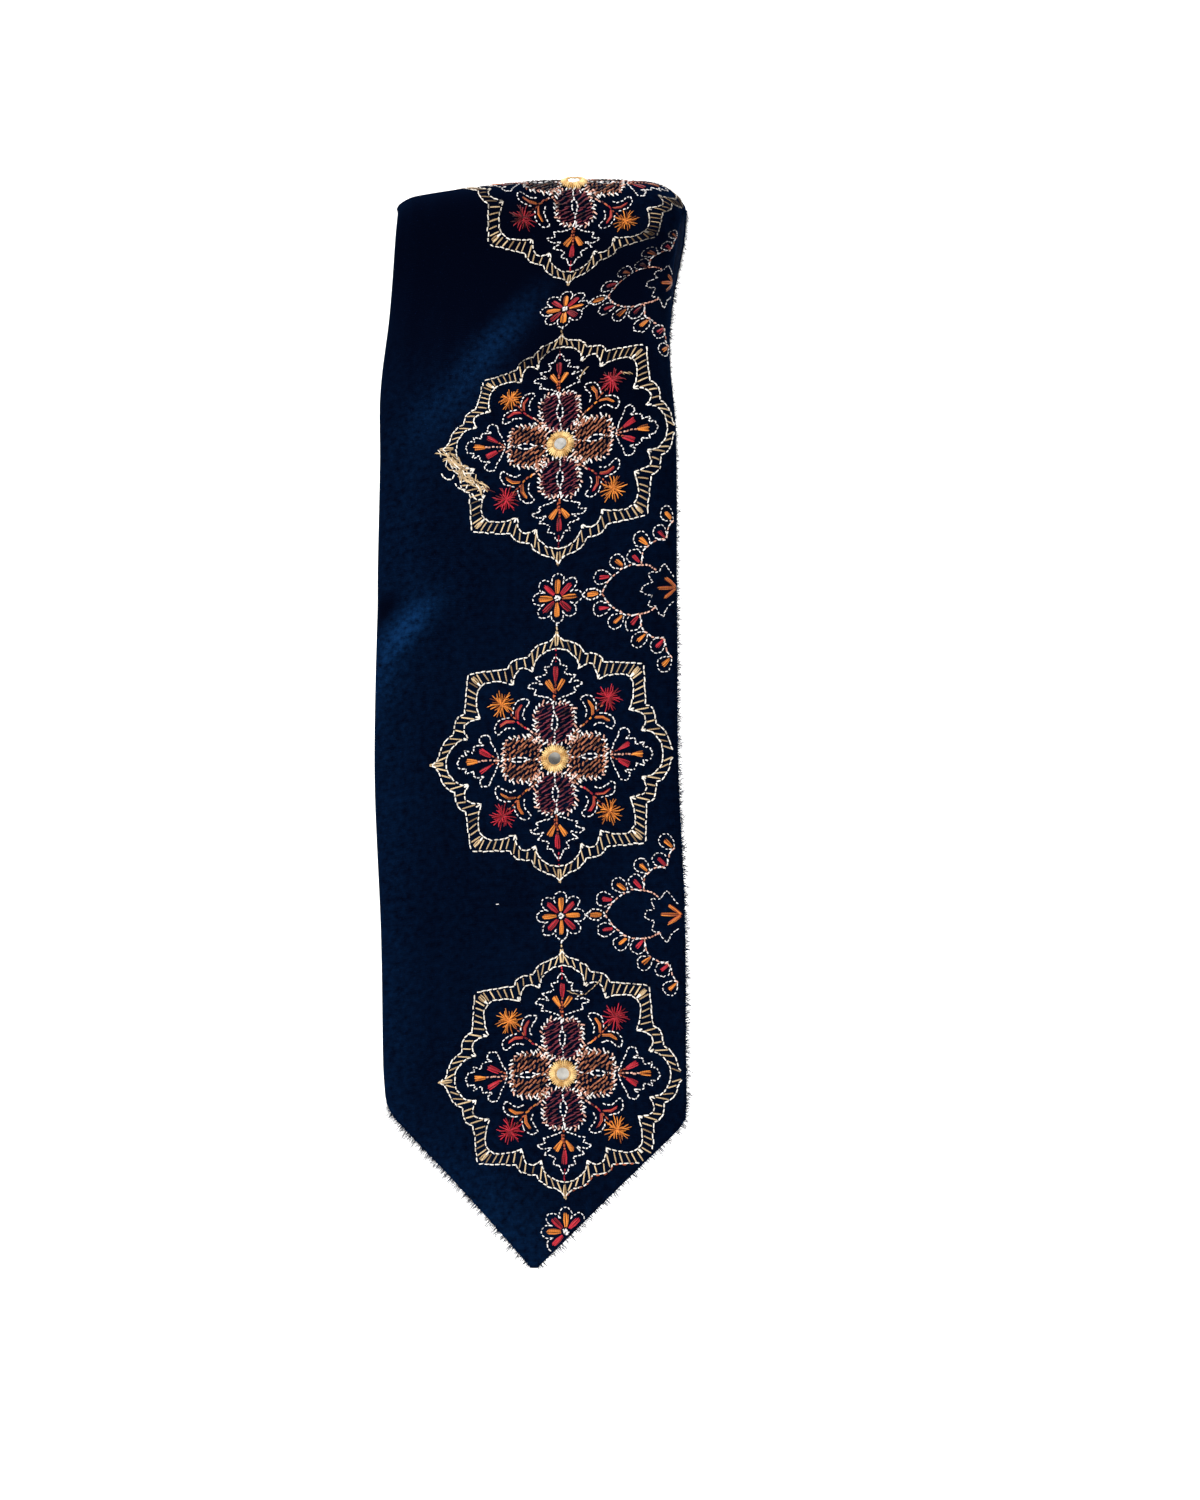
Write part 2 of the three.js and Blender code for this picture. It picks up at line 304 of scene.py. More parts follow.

# %% [markdown]
# Two effects are shared, so each is a node group built once. The first is the nap of the velvet with its
# painted sheen: pile that was stroked one way looks nearly black and pile stroked the other way looks blue.
# A value painted on the cloth says where it looks blue: mostly painted sheen and painted shade, partly the
# way the pile was brushed, and noise breaks that up. The second, further on, is the twist of the threads.

# %% The velvet's nap and its painted sheen, as a group
UV_PER_MM = 0.01
SLOW_SPREAD, STROKE_SPREAD, TUFT_SPREAD, RIB_SPREAD = 0.2, 0.16, 0.16, 0.06
CLUMP_CONTRAST, CLUMP_START = 4.6, -1.3
NAP_STRENGTH = 0.6
NAP_ROUGHNESS, ROUGHNESS_SPREAD, RIB_HEIGHT = 0.75, 0.2, 0.25


def nap_and_sheen_group():
    group, given, result = new_group(
        "velvet_nap_and_painted_sheen",
        {"Deep": "Color", "Blue": "Color", "Painted Sheen": "Float"},
        {"Color": "Color", "Roughness": "Float", "Height": "Float"},
    )
    flat = add(group, "ShaderNodeUVMap", uv_map="flat").outputs["UV"]
    slow = noise(group, flat, scale=2.2, detail=3.0)
    strokes = noise(group, stretched(group, flat, (14.0, 2.5, 1.0)), scale=1.0, detail=4.0)
    clumps = noise(group, flat, scale=38.0, detail=4.0, roughness=0.65)
    tufts = noise(group, flat, scale=190.0, detail=2.0)
    ribs = waves(group, flat, "Y", scale=34.0, distortion=1.2)
    uneven = math_node(group, "MULTIPLY_ADD", clumps, CLUMP_CONTRAST, CLUMP_START)
    # The painted value brings painted sheen and painted shade into the colour, broken up by clumps.
    value = math_node(group, "MULTIPLY", given.outputs["Painted Sheen"], uneven)
    textures = (slow, SLOW_SPREAD), (strokes, STROKE_SPREAD), (tufts, TUFT_SPREAD), (ribs, RIB_SPREAD)
    for texture, spread in textures:
        centred = math_node(group, "MULTIPLY_ADD", texture, spread, -spread / 2)
        value = math_node(group, "ADD", value, centred)
    value = math_node(group, "MAXIMUM", math_node(group, "MULTIPLY", value, NAP_STRENGTH), 0.0)
    colour = mixed(group, value, given.outputs["Deep"], given.outputs["Blue"])
    fill(group, result.inputs["Color"], colour)
    roughness = math_node(group, "MULTIPLY_ADD", tufts, ROUGHNESS_SPREAD, NAP_ROUGHNESS)
    fill(group, result.inputs["Roughness"], roughness)
    fill(group, result.inputs["Height"], math_node(group, "MULTIPLY_ADD", ribs, RIB_HEIGHT, tufts))
    return group


NAP_AND_SHEEN = nap_and_sheen_group()
print("group:", NAP_AND_SHEEN.name)

# %% [markdown]
# Velvet drinks light: it has almost no gloss, and what comes back is a soft sheen at glancing angles, so
# the specular level is nearly nothing and the sheen does the work. Both are constants on the shader's own
# sockets. The woven back is a plain weave of two crossing sets of yarn, with slubs drawn out along the
# strip.

# %% Velvet materials
# The blue is the colour of painted sheen on the pile, mixed in by the painted value.
DEEP_NAVY, PAINTED_SHEEN_BLUE = (0.0005, 0.0011, 0.0045, 1), (0.0026, 0.019, 0.068, 1)
SHEEN_BLUE = (0.05, 0.16, 0.5, 1)
BACK_DARK, BACK_LIGHT = (0.0015, 0.004, 0.014, 1), (0.01, 0.026, 0.075, 1)
SLUB_SPREAD, WEAVE_SPREAD = 0.9, 0.5


def velvet_material():
    material, tree, shader = new_material("navy_velvet")
    # The painted sheen and painted shade, read from the cloth's vertices.
    nap_and_painted_sheen = add(tree, "ShaderNodeAttribute", attribute_name="nap_and_painted_sheen").outputs["Fac"]
    inputs = {"Deep": DEEP_NAVY, "Blue": PAINTED_SHEEN_BLUE, "Painted Sheen": nap_and_painted_sheen}
    nap_and_sheen = add(tree, "ShaderNodeGroup", inputs, node_tree=NAP_AND_SHEEN)
    dress(tree, shader, *nap_and_sheen.outputs, strength=0.35, distance=0.0004)
    shader.inputs["Specular IOR Level"].default_value = 0.0
    shader.inputs["Sheen Weight"].default_value = 0.05
    shader.inputs["Sheen Roughness"].default_value = 0.42
    shader.inputs["Sheen Tint"].default_value = SHEEN_BLUE
    return material


def woven_back_material():
    material, tree, shader = new_material("woven_back")
    flat = add(tree, "ShaderNodeUVMap", uv_map="flat").outputs["UV"]
    yarns = [waves(tree, flat, direction, scale=42.0, distortion=0.6) for direction in "XY"]
    weave = math_node(tree, "MULTIPLY", *yarns)
    slubs = noise(tree, stretched(tree, flat, (60.0, 2.0, 1.0)), scale=1.0, detail=5.0)
    shade = math_node(tree, "MULTIPLY_ADD", weave, WEAVE_SPREAD, -WEAVE_SPREAD / 2)
    shade = math_node(tree, "MULTIPLY_ADD", slubs, SLUB_SPREAD, shade)
    colour = mixed(tree, shade, BACK_DARK, BACK_LIGHT)
    dress(tree, shader, colour, roughness=0.9, height=weave, strength=0.5, distance=0.0003)
    shader.inputs["Specular IOR Level"].default_value = 0.08
    return material


VELVET = velvet_material()
WOVEN_BACK = woven_back_material()
print("materials:", VELVET.name, WOVEN_BACK.name)

# %% [markdown]
# The cloth starts as a flat grid whose columns run out to the cut edges, so the points need no trimming.
# It is extruded once to get a back, and then both layers are sent through the drape, the pile side 1.6 mm
# above the underside. The flat place of every vertex is kept as its UV map, because the nap follows the
# cloth. A value painted on the vertices, from a short table with the same columns as the folds, is mostly
# painted sheen and painted shade: lighter blue where folds, the rolled left edge and the front point catch
# the light, darker near the top, and partly it stands for where the pile was brushed.

# %% The velvet cloth
CLOTH_COLUMNS, CLOTH_ROWS = 80, 400
CUT_EDGE_LIFT = 0.6
GRID_EDGE = 0.9999
# Patches of painted sheen and painted shade: bright where folds and edges catch the light, dark near the
# top.
PAINTED_SHEEN_AND_SHADE = (
    (-231, -60, 40, 13, 5.5, 0.84),
    (-246, -70, 70, 26, 7, 0.36),
    (-223, -71, 40, 9, 5, -0.3),
    (-110, -28, 58, 30, 8, 0.52),
    (-141, -53, 45, 18, 10, 0.2),
    (-185, -64, 85, 40, 10, 0.1),
    (-290, -66, 88, 75, 11, 0.11),
    (-70, -45, 80, 50, 38, -0.22),
    (-110, 15, 90, 60, 30, -0.2),
    (-480, -30, 130, 45, 18, 0.29),
    (-400, -70, 90, 70, 8, 0.1),
    (230, -40, 60, 70, 18, 0.25),
    (380, 10, 110, 60, 20, 0.2),
)
# The painted sheen everywhere, before the patches are added.
PAINTED_SHEEN_BASE = 0.14


def flat_places(grid_points):
    """Along and across for points of a grid that runs from -1 to 1 both ways."""
    along = grid_points[:, 1] * HALF_LENGTH
    left, right = cut_edges(along)
    return along, left + (right - left) * (grid_points[:, 0] + 1) / 2


def to_mesh(bm, name):
    """Turn a bmesh into a mesh of its own."""
    mesh = bpy.data.meshes.new(name)
    bm.to_mesh(mesh)
    bm.free()
    return mesh


def show_mesh(mesh, *materials):
    """Link a smooth-shaded object with these materials."""
    mesh.shade_smooth()
    for material in materials:
        mesh.materials.append(material)
    piece = bpy.data.objects.new(mesh.name, mesh)
    bpy.context.scene.collection.objects.link(piece)
    return piece


def show_piece(mesh, *materials):
    """An object that rides on the cloth's body."""
    piece = show_mesh(mesh, *materials)
    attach(piece, BODY)
    return piece


def velvet_cloth():
    bm = bmesh.new()
    bmesh.ops.create_grid(bm, x_segments=CLOTH_COLUMNS, y_segments=CLOTH_ROWS, size=1)
    back_faces = list(bm.faces)
    extruded = bmesh.ops.extrude_face_region(bm, geom=back_faces)["geom"]
    pile_verts = {v for v in extruded if isinstance(v, bmesh.types.BMVert)}
    along, across = flat_places(np.array([v.co[:] for v in bm.verts]))
    edge = np.array([max(abs(v.co.x), abs(v.co.y)) > GRID_EDGE for v in bm.verts])
    pile = np.array([v in pile_verts for v in bm.verts])
    points = drape(along, across, WALL * pile * np.where(edge, CUT_EDGE_LIFT, 1))
    flat_uv = bm.loops.layers.uv.new("flat")
    bm.verts.index_update()
    for face in bm.faces:
        for loop in face.loops:
            i = loop.vert.index
            loop[flat_uv].uv = (across[i] * UV_PER_MM, along[i] * UV_PER_MM)
    for face in back_faces:
        face.material_index = 1
    for vert, point in zip(bm.verts, points):
        vert.co = point
    bmesh.ops.recalc_face_normals(bm, faces=bm.faces)
    open_edges = sum(not e.is_manifold for e in bm.edges)
    cloth = show_piece(to_mesh(bm, "velvet_cloth"), VELVET, WOVEN_BACK)
    # The painted sheen and painted shade go onto the vertices.
    nap_and_painted_sheen = cloth.data.attributes.new("nap_and_painted_sheen", "FLOAT", "POINT")
    nap_and_painted_sheen.data.foreach_set("value", PAINTED_SHEEN_BASE + patches(PAINTED_SHEEN_AND_SHADE, along, across))
    print("velvet cloth:", len(cloth.data.polygons), "faces,", open_edges, "open edges")
    return cloth


cloth = velvet_cloth()
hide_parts("velvet_band")

# %% [markdown]
# Embroidery thread is shiny rayon, spun from two strands, so a stitch seen close shows slanting bands of
# light and dark, put into its colour as painted highlight and painted shade. Each stitch carries its own
# UV map, millimetres along it and turns round it, and its own shade, partly a random tone and partly a
# painted highlight, so that no two stitches are quite the same colour. A shade under zero darkens the
# thread towards black: painted shade, where little light reaches.

# %% The twist of the thread, as a group
BLACK = (0, 0, 0, 1)
STRAND_SHARE = 0.3
THREAD_ROUGHNESS, STRAND_GLOSS = 0.46, 0.12


def thread_group():
    group, given, result = new_group(
        "thread_twist",
        {"Light": "Color", "Dark": "Color", "Twists": "Float"},
        {"Color": "Color", "Roughness": "Float", "Height": "Float"},
    )
    uv = add(group, "ShaderNodeUVMap", uv_map="thread").outputs["UV"]
    place = add(group, "ShaderNodeSeparateXYZ", {"Vector": uv})
    shade = add(group, "ShaderNodeAttribute", attribute_name="shade").outputs["Fac"]
    turns = math_node(group, "MULTIPLY", place.outputs["X"], given.outputs["Twists"])
    turns = math_node(group, "ADD", turns, place.outputs["Y"])
    # The twist's bands of light and dark are painted highlight and painted shade.
    wave = math_node(group, "SINE", math_node(group, "MULTIPLY", turns, 2 * math.pi))
    strand = math_node(group, "MULTIPLY_ADD", wave, 0.5, 0.5)
    own_shade = math_node(group, "MULTIPLY", shade, 1 - STRAND_SHARE)
    factor = math_node(group, "MULTIPLY_ADD", strand, STRAND_SHARE, own_shade)
    lit = mixed(group, factor, given.outputs["Dark"], given.outputs["Light"])
    # A shade under zero blackens the colour: painted shade.
    painted_shade_factor = math_node(group, "MINIMUM", math_node(group, "ADD", shade, 1.0), 1.0)
    fill(group, result.inputs["Color"], mixed(group, painted_shade_factor, BLACK, lit))
    roughness = math_node(group, "MULTIPLY_ADD", strand, -STRAND_GLOSS, THREAD_ROUGHNESS)
    fill(group, result.inputs["Roughness"], roughness)
    fill(group, result.inputs["Height"], strand)
    return group


TWIST = thread_group()
THREADS = {
    "cream": {"slot": "cream_thread", "light": (1.0, 0.97, 0.92), "dark": (0.64, 0.58, 0.5)},
    "gold": {"slot": "gold_thread", "light": (0.76, 0.57, 0.34), "dark": (0.2, 0.12, 0.055)},
    "ring": {"slot": "gold_thread", "light": (0.93, 0.69, 0.32), "dark": (0.38, 0.17, 0.03)},
    "white": {"slot": "white_thread", "light": (0.99, 0.97, 0.96), "dark": (0.62, 0.6, 0.61)},
    "rose": {"slot": "copper_thread", "light": (0.95, 0.62, 0.5), "dark": (0.38, 0.13, 0.08)},
    "copper": {"slot": "copper_thread", "light": (0.48, 0.165, 0.078), "dark": (0.012, 0.004, 0.003)},
    "maroon": {"slot": "maroon_thread", "light": (0.21, 0.026, 0.046), "dark": (0.01, 0.002, 0.004)},
    "orange": {"slot": "orange_thread", "light": (0.98, 0.33, 0.05), "dark": (0.16, 0.028, 0.004)},
    "crimson": {"slot": "crimson_thread", "light": (0.62, 0.022, 0.045), "dark": (0.03, 0.0015, 0.003)},
    "rust": {"slot": "copper_thread", "light": (0.58, 0.13, 0.05), "dark": (0.1, 0.014, 0.008)},
}
TWISTS_PER_MM = 1.3


def thread_material(name):
    material, tree, shader = new_material(f"{name}_thread")
    light, dark = ((*THREADS[name][end], 1) for end in ("light", "dark"))
    inputs = {"Light": light, "Dark": dark, "Twists": TWISTS_PER_MM}
    twist = add(tree, "ShaderNodeGroup", inputs, node_tree=TWIST)
    dress(tree, shader, *twist.outputs, strength=0.3, distance=0.0001)
    shader.inputs["Specular IOR Level"].default_value = 0.22
    return material


thread_materials = {name: thread_material(name) for name in THREADS}
print("threads:", ", ".join(thread_materials))

# %% [markdown]
# One stitch is a little grain of thread: it comes up out of the pile, lies over it and goes down again.
# There are thousands, so the grain is a small sphere with five sides, pulled into a capsule, and all
# stitches of one thread become one mesh. Copying objects would work, but thousands of objects are slow to
# handle. Here the grain's points are laid along every stitch on the flat cloth at once, and then draped.

# %% One grain of thread
GRAIN_SIDES, GRAIN_RINGS = 5, 4
GRAIN_FLATNESS = 0.85
GRAIN_BLUNTNESS = 0.4
AT_POLE = 0.01


def thread_grain():
    """Rows of (along, sideways, upwards), its triangles, and each triangle corner's (along, round)."""
    bm = bmesh.new()
    bmesh.ops.create_uvsphere(bm, u_segments=GRAIN_SIDES, v_segments=GRAIN_RINGS, radius=1)
    bmesh.ops.triangulate(bm, faces=bm.faces)
    bm.verts.index_update()
    points, triangles, corners = [], [], []
    for vert in bm.verts:
        girth = math.hypot(vert.co.x, vert.co.y)
        fuller = 0 if girth < AT_POLE else girth ** GRAIN_BLUNTNESS / girth
        points.append(((vert.co.z + 1) / 2, vert.co.x * fuller / 2, vert.co.y * fuller / 2))
    for face in bm.faces:
        triangles.append([v.index for v in face.verts])
        middle = face.calc_center_median()
        face_round = math.atan2(middle.y, middle.x) / (2 * math.pi)
        for vert in face.verts:
            pole = math.hypot(vert.co.x, vert.co.y) < AT_POLE
            round_it = face_round if pole else math.atan2(vert.co.y, vert.co.x) / (2 * math.pi)
            corners.append(((vert.co.z + 1) / 2, round_it - round(round_it - face_round)))
    bm.free()
    return np.array(points), np.array(triangles), np.array(corners)


GRAIN_POINTS, GRAIN_TRIANGLES, GRAIN_CORNERS = thread_grain()
print("one stitch:", len(GRAIN_POINTS), "points,", len(GRAIN_TRIANGLES), "triangles")

# %% Sew a list of stitches into one mesh
STITCH_COLUMNS = ("from_across", "from_along", "to_across", "to_along", "width", "rise", "bow",
                  "from_lift", "to_lift", "shade")
TWIST_SHIFT = 7
SHORTEST_STITCH = 0.01


def sew(name, rows, thread):
    """One draped mesh of all these stitches."""
    table = dict(zip(STITCH_COLUMNS, np.array(rows, float).T[:, :, None]))
    t, sideways, upwards = GRAIN_POINTS.T
    run_across = table["to_across"] - table["from_across"]
    run_along = table["to_along"] - table["from_along"]
    length = np.maximum(np.hypot(run_across, run_along), SHORTEST_STITCH)
    aside = sideways * table["width"] + table["bow"] * 4 * t * (1 - t)
    across = table["from_across"] + run_across * t - run_along / length * aside
    along = table["from_along"] + run_along * t + run_across / length * aside
    lift = table["from_lift"] + (table["to_lift"] - table["from_lift"]) * t
    lift = lift + table["rise"] * (1 - (2 * t - 1) ** 4) + upwards * table["width"] * GRAIN_FLATNESS
    points = drape(along.ravel(), across.ravel(), WALL + lift.ravel())
    count = len(rows)
    starts = np.arange(count)[:, None, None] * len(GRAIN_POINTS)
    triangles = (GRAIN_TRIANGLES + starts).reshape(-1, 3)
    uv = np.stack([
        table["shade"] * TWIST_SHIFT + length * GRAIN_CORNERS[:, 0],
        np.broadcast_to(GRAIN_CORNERS[:, 1], (count, len(GRAIN_CORNERS))),
    ], axis=-1)
    mesh = bpy.data.meshes.new(name)
    mesh.from_pydata(points, [], triangles)
    mesh.uv_layers.new(name="thread").data.foreach_set("uv", uv.ravel())
    shade = mesh.attributes.new("shade", "FLOAT", "POINT")
    shade.data.foreach_set("value", np.repeat(table["shade"].ravel(), len(GRAIN_POINTS)))
    piece = show_piece(mesh, thread_materials[thread])
    print(f"{name}: {count} stitches, {len(triangles)} triangles")
    return piece


print("a stitch is given by:", ", ".join(STITCH_COLUMNS))

# %% [markdown]
# The embroidery is drawn flat, in millimetres round the middle of each motif, as one would chart it on
# paper: x to the right and y towards the top of the arch. A chart is only a list of stitches. A few pens
# write into it: a running stitch along a line, a saw-toothed edge, a bundle of satin strands, and rows
# that fill an outline. The kinds of running stitch are named once, with their pitch, length and width.
# Mirrored copies of a chart give the star its symmetry.

# %% Pens that write stitches into a chart
DIP = -0.35
PEAK_PLACE, PEAK_RANGE, HEEL_RANGE, THREAD_SKIP = 0.6, (0.4, 1.4), (0.2, 0.9), 7
RETURN_SHARE, RETURN_THREADS = 0.65, ("rose", "white")
RETURN_START, RETURN_END, RETURN_WIDTH = 0.8, 1.6, 0.8
SATIN_FOOT, SATIN_BULGE, CLUB_BULGE, TIP_ROUNDING = 0.12, 0.42, 0.34, 0.5
MIDDLE_RISE, SIDE_FALL = 1.2, 0.3
FIRST_ROW, LAST_ROW, ROW_STAGGER = 0.7, 0.3, 0.4
ROW_START, ROW_END, SHORTEST_IN_ROW = 0.35, 0.3, 0.6
SLANT_RANGE, ROW_RISE_RANGE, ROW_BOW = (0.5, 1.5), (0.3, 0.8), 0.15
LADDER_LINE = {"pitch": 2.2, "dash": 2.25, "width": 0.57, "rise": 0.6}
OUTLINE = {"pitch": 1.65, "dash": 1.4, "width": 0.54}
HORN_LINE = {"pitch": 1.8, "dash": 1.5, "width": 0.54}
LEAF_LINE = {"pitch": 1.8, "dash": 1.5, "width": 0.44}
FLOWER_LINE = {"pitch": 1.8, "dash": 1.5, "width": 0.48}
HALF_FLOWER_LINE = {"pitch": 1.7, "dash": 1.4, "width": 0.42}
STEM_LINE = {"pitch": 1.8, "dash": 1.75, "width": 0.64}
BUD_LINE = {"pitch": 1.6, "dash": 1.3}
VEIN_LINE = {"pitch": 1.5, "dash": 1.3}


def stitch(chart, thread, start, end, width=0.62, rise=0.5, bow=0.0, lifts=(DIP, DIP)):
    chart.append((thread, *start, *end, width, rise, bow, *lifts))


def smooth_line(points, steps=6, closed=False):
    """A curve through the points, as a list of short steps."""
    p = np.array(points, float)
    before = np.roll(p, 1, 0) if closed else np.vstack([p[:1], p[:-1]])
    after = np.roll(p, -1, 0) if closed else np.vstack([p[1:], p[-1:]])
    later = np.roll(p, -2, 0) if closed else np.vstack([p[2:], p[-1:], p[-1:]])
    line = []
    for a, b, c, d in list(zip(before, p, after, later))[:None if closed else -1]:
        for t in np.arange(steps) / steps:
            square, cube = 2 * a - 5 * b + 4 * c - d, 3 * b - a - 3 * c + d
            line.append(b + ((c - a) * t + square * t ** 2 + cube * t ** 3) / 2)
    return np.array(line + [p[0] if closed else p[-1]])


def walker(line):
    """The line's length, and a function that gives the place at a distance along it."""
    line = np.array(line, float)
    reach = np.concatenate([[0], np.cumsum(np.hypot(*np.diff(line, axis=0).T))])
    return reach[-1], lambda s: np.array([np.interp(s, reach, line[:, k]) for k in (0, 1)])


def running(chart, threads, line, pitch=1.8, dash=1.35, width=0.6, **look):
    """Running stitches along a line, of one thread or of several in turn."""
    threads = (threads,) if isinstance(threads, str) else threads
    length, at = walker(line)
    count = max(1, round(length / pitch))
    step = length / count
    for i in range(count):
        middle = (i + 0.5) * step
        half = dash / pitch * step / 2
        stitch(chart, threads[i % len(threads)], at(middle - half), at(middle + half), width, **look)


def zigzag(chart, threads, line, pitch=1.8, depth=1.1, width=0.68):
    """A saw-toothed row of stitches along an outline that goes round clockwise, no two teeth alike."""
    length, at = walker(line)
    count = round(length / pitch)
    step = length / count
    for i in range(count):
        foot, head, beyond = at(i * step), at((i + PEAK_PLACE) * step), at((i + 1) * step)
        out = np.array([foot[1] - beyond[1], beyond[0] - foot[0]]) / step
        peak = head + out * depth * chance.uniform(*PEAK_RANGE)
        heel = foot - out * depth * chance.uniform(*HEEL_RANGE)
        stitch(chart, threads[i * THREAD_SKIP % len(threads)], heel, peak, width, rise=0.7)
        if chance.random() < RETURN_SHARE:
            thread = RETURN_THREADS[i % len(RETURN_THREADS)]
            start, end = peak - out * RETURN_START, beyond - out * depth * RETURN_END
            stitch(chart, thread, start, end, width * RETURN_WIDTH, rise=0.55)


def satin(chart, thread, start, end, girth, strands=5, width=0.52, flare=0.0, bend=0.0, rise=0.5):
    """Strands side by side: a leaf, or with flare 1 a club that is broad at its far end."""
    start, end = np.array(start, float), np.array(end, float)
    way = (end - start) / np.hypot(*(end - start))
    side = np.array([-way[1], way[0]])
    for i in range(strands):
        lean = 2 * i / (strands - 1) - 1
        shorter = way * abs(lean) * TIP_ROUNDING * (1 - flare / 2)
        far_end = end + side * lean * flare * girth * SATIN_BULGE - shorter
        higher = rise * (MIDDLE_RISE - SIDE_FALL * abs(lean))
        bow = bend + lean * girth * (SATIN_BULGE - CLUB_BULGE * flare)
        stitch(chart, thread, start + side * lean * SATIN_FOOT, far_end, width, higher, bow)


def fill_rows(chart, thread, outline, hole, pitch, length, gap=0.5, slant=0.42, width=0.6):
    """Rows of slanting stitches inside an outline, round an oval hole."""
    outline = np.array(outline, float)
    ahead = np.roll(outline, -1, 0)
    (hole_x, hole_y), (hole_half_x, hole_half_y) = hole
    first, last = outline[:, 1].min() + pitch * FIRST_ROW, outline[:, 1].max() - pitch * LAST_ROW
    rows = np.arange(first, last, pitch)
    for number, y in enumerate(rows):
        crossing = (outline[:, 1] > y) != (ahead[:, 1] > y)
        a, b = outline[crossing], ahead[crossing]
        ends = np.sort(a[:, 0] + (y - a[:, 1]) / (b[:, 1] - a[:, 1]) * (b[:, 0] - a[:, 0]))
        for low, high in zip(ends[::2], ends[1::2]):
            x = low + ROW_START + (number % 2) * length * ROW_STAGGER
            while x + length / 2 < high:
                stop = min(x + length, high - ROW_END)
                middle = (x + stop) / 2
                inside = (middle - hole_x) ** 2 / hole_half_x ** 2 + (y - hole_y) ** 2 / hole_half_y ** 2
                if inside > 1 and stop - x > SHORTEST_IN_ROW:
                    lean = slant * (stop - x) / 2 * chance.uniform(*SLANT_RANGE)
                    rise, bow = chance.uniform(*ROW_RISE_RANGE), chance.normal(0, ROW_BOW)
                    stitch(chart, thread, (x, y - lean), (stop, y + lean), width, rise, bow)
                x += length + gap


def mirrored(chart, x=1, y=1, swap=False):
    """A mirrored copy of a chart; swap mirrors it in the diagonal."""
    copy = []
    turn = x * y * (-1 if swap else 1)
    for thread, ax, ay, bx, by, width, rise, bow, *lifts in chart:
        if swap:
            ax, ay, bx, by = ay, ax, by, bx
        copy.append((thread, ax * x, ay * y, bx * x, by * y, width, rise, bow * turn, *lifts))
    return copy


print("stitches end", -DIP, "mm down in the pile")

# %% [markdown]
# The star's border is a ladder between two scalloped outlines. One eighth of it is charted, from the top
# point to the corner, in three runs that end at the scallops' cusps, and mirrored until it goes all the
# way round. Satin stitches mark the points and the corners.

# %% The star's border
BORDER_RUNS = (
    {"outer": ((0, 50.6), (1.6, 48.6), (3.6, 47.4), (6.8, 46.5), (10.2, 44.1), (11.6, 41.5)),
     "inner": ((0, 44.6), (3.9, 43.8), (6.6, 41.8), (8.8, 39.4), (9.3, 35.6)), "rungs": 4},
    {"outer": ((11.6, 41.5), (15.2, 41.2), (18.4, 39.9), (19.7, 37.2)),
     "inner": ((9.3, 35.6), (12, 37.2), (15, 37.2), (16.7, 34.6), (17.5, 30.6)), "rungs": 3},
    {"outer": ((19.7, 37.2), (27.6, 36.6), (35.4, 36)),
     "inner": ((17.5, 30.6), (22, 32), (28.2, 32.1), (30.6, 30.6)), "rungs": 5},
)
RUNG_SLANT = 0.08


def border_chart():
    eighth = []
    for run in BORDER_RUNS:
        outer, inner = smooth_line(run["outer"]), smooth_line(run["inner"])
        for line in (outer, inner):
            running(eighth, "cream", line, **LADDER_LINE)
        (outer_length, outer_at), (inner_length, inner_at) = walker(outer), walker(inner)
        for i in range(run["rungs"]):
            share = (i + 0.6) / (run["rungs"] + 0.1)
            foot = inner_at(inner_length * (RUNG_SLANT + (1 - RUNG_SLANT) * share))
            head = outer_at(outer_length * (1 - RUNG_SLANT) * share)
            stitch(eighth, "gold", foot, head, width=0.62, rise=0.4)
        cusp = np.array(run["inner"][-1])
        stitch(eighth, "cream", cusp, cusp + (np.array(run["outer"][-1]) - cusp) * 0.35, width=0.7)
    satin(eighth, "gold", (0, 45), (0, 52.6), 1.2, strands=2, width=0.55)
    satin(eighth, "gold", (31.2, 31.4), (34.8, 35.3), 0.8, strands=2, width=0.5)
    quarter = eighth + mirrored(eighth, swap=True)
    half = quarter + mirrored(quarter, x=-1)
    return half + mirrored(half, y=-1)


border = border_chart()
print("border:", len(border), "stitches")

# %% [markdown]
# Round the mirror stand four petals of slanting rows, plum above and below and copper at the sides, each
# with a ragged white edge and a slit down its middle. All are charted upright, by one function, from one
# half of an outline, and the side petals, a little broader, are then mirrored in the diagonal.

# %% The star's petals
UPRIGHT_HALF = ((0, 22), (2.6, 23), (5.4, 22.4), (7.6, 20.4), (8.6, 17.6), (8.5, 14.6), (7.9, 11.6),
                (6.8, 9), (5, 7), (2, 5.8))
SIDE_HALF = ((0, 21.2), (3, 21.7), (5.8, 21.2), (7.8, 19.8), (8.9, 17.4), (9.2, 14), (9.3, 11), (8.7, 8.6),
             (7, 6.4), (3, 5.4))
SLIT_MIDDLE, SLIT_HALF = (0, 14.4), (1.4, 4.1)
SLIT_INSET, SLIT_STEPS, SLIT_GAP = 0.85, 25, 0.3
SLIT_ENDS = ((0.25, 6.6), (0, 11)), ((0, 17.8), (-0.25, 22))


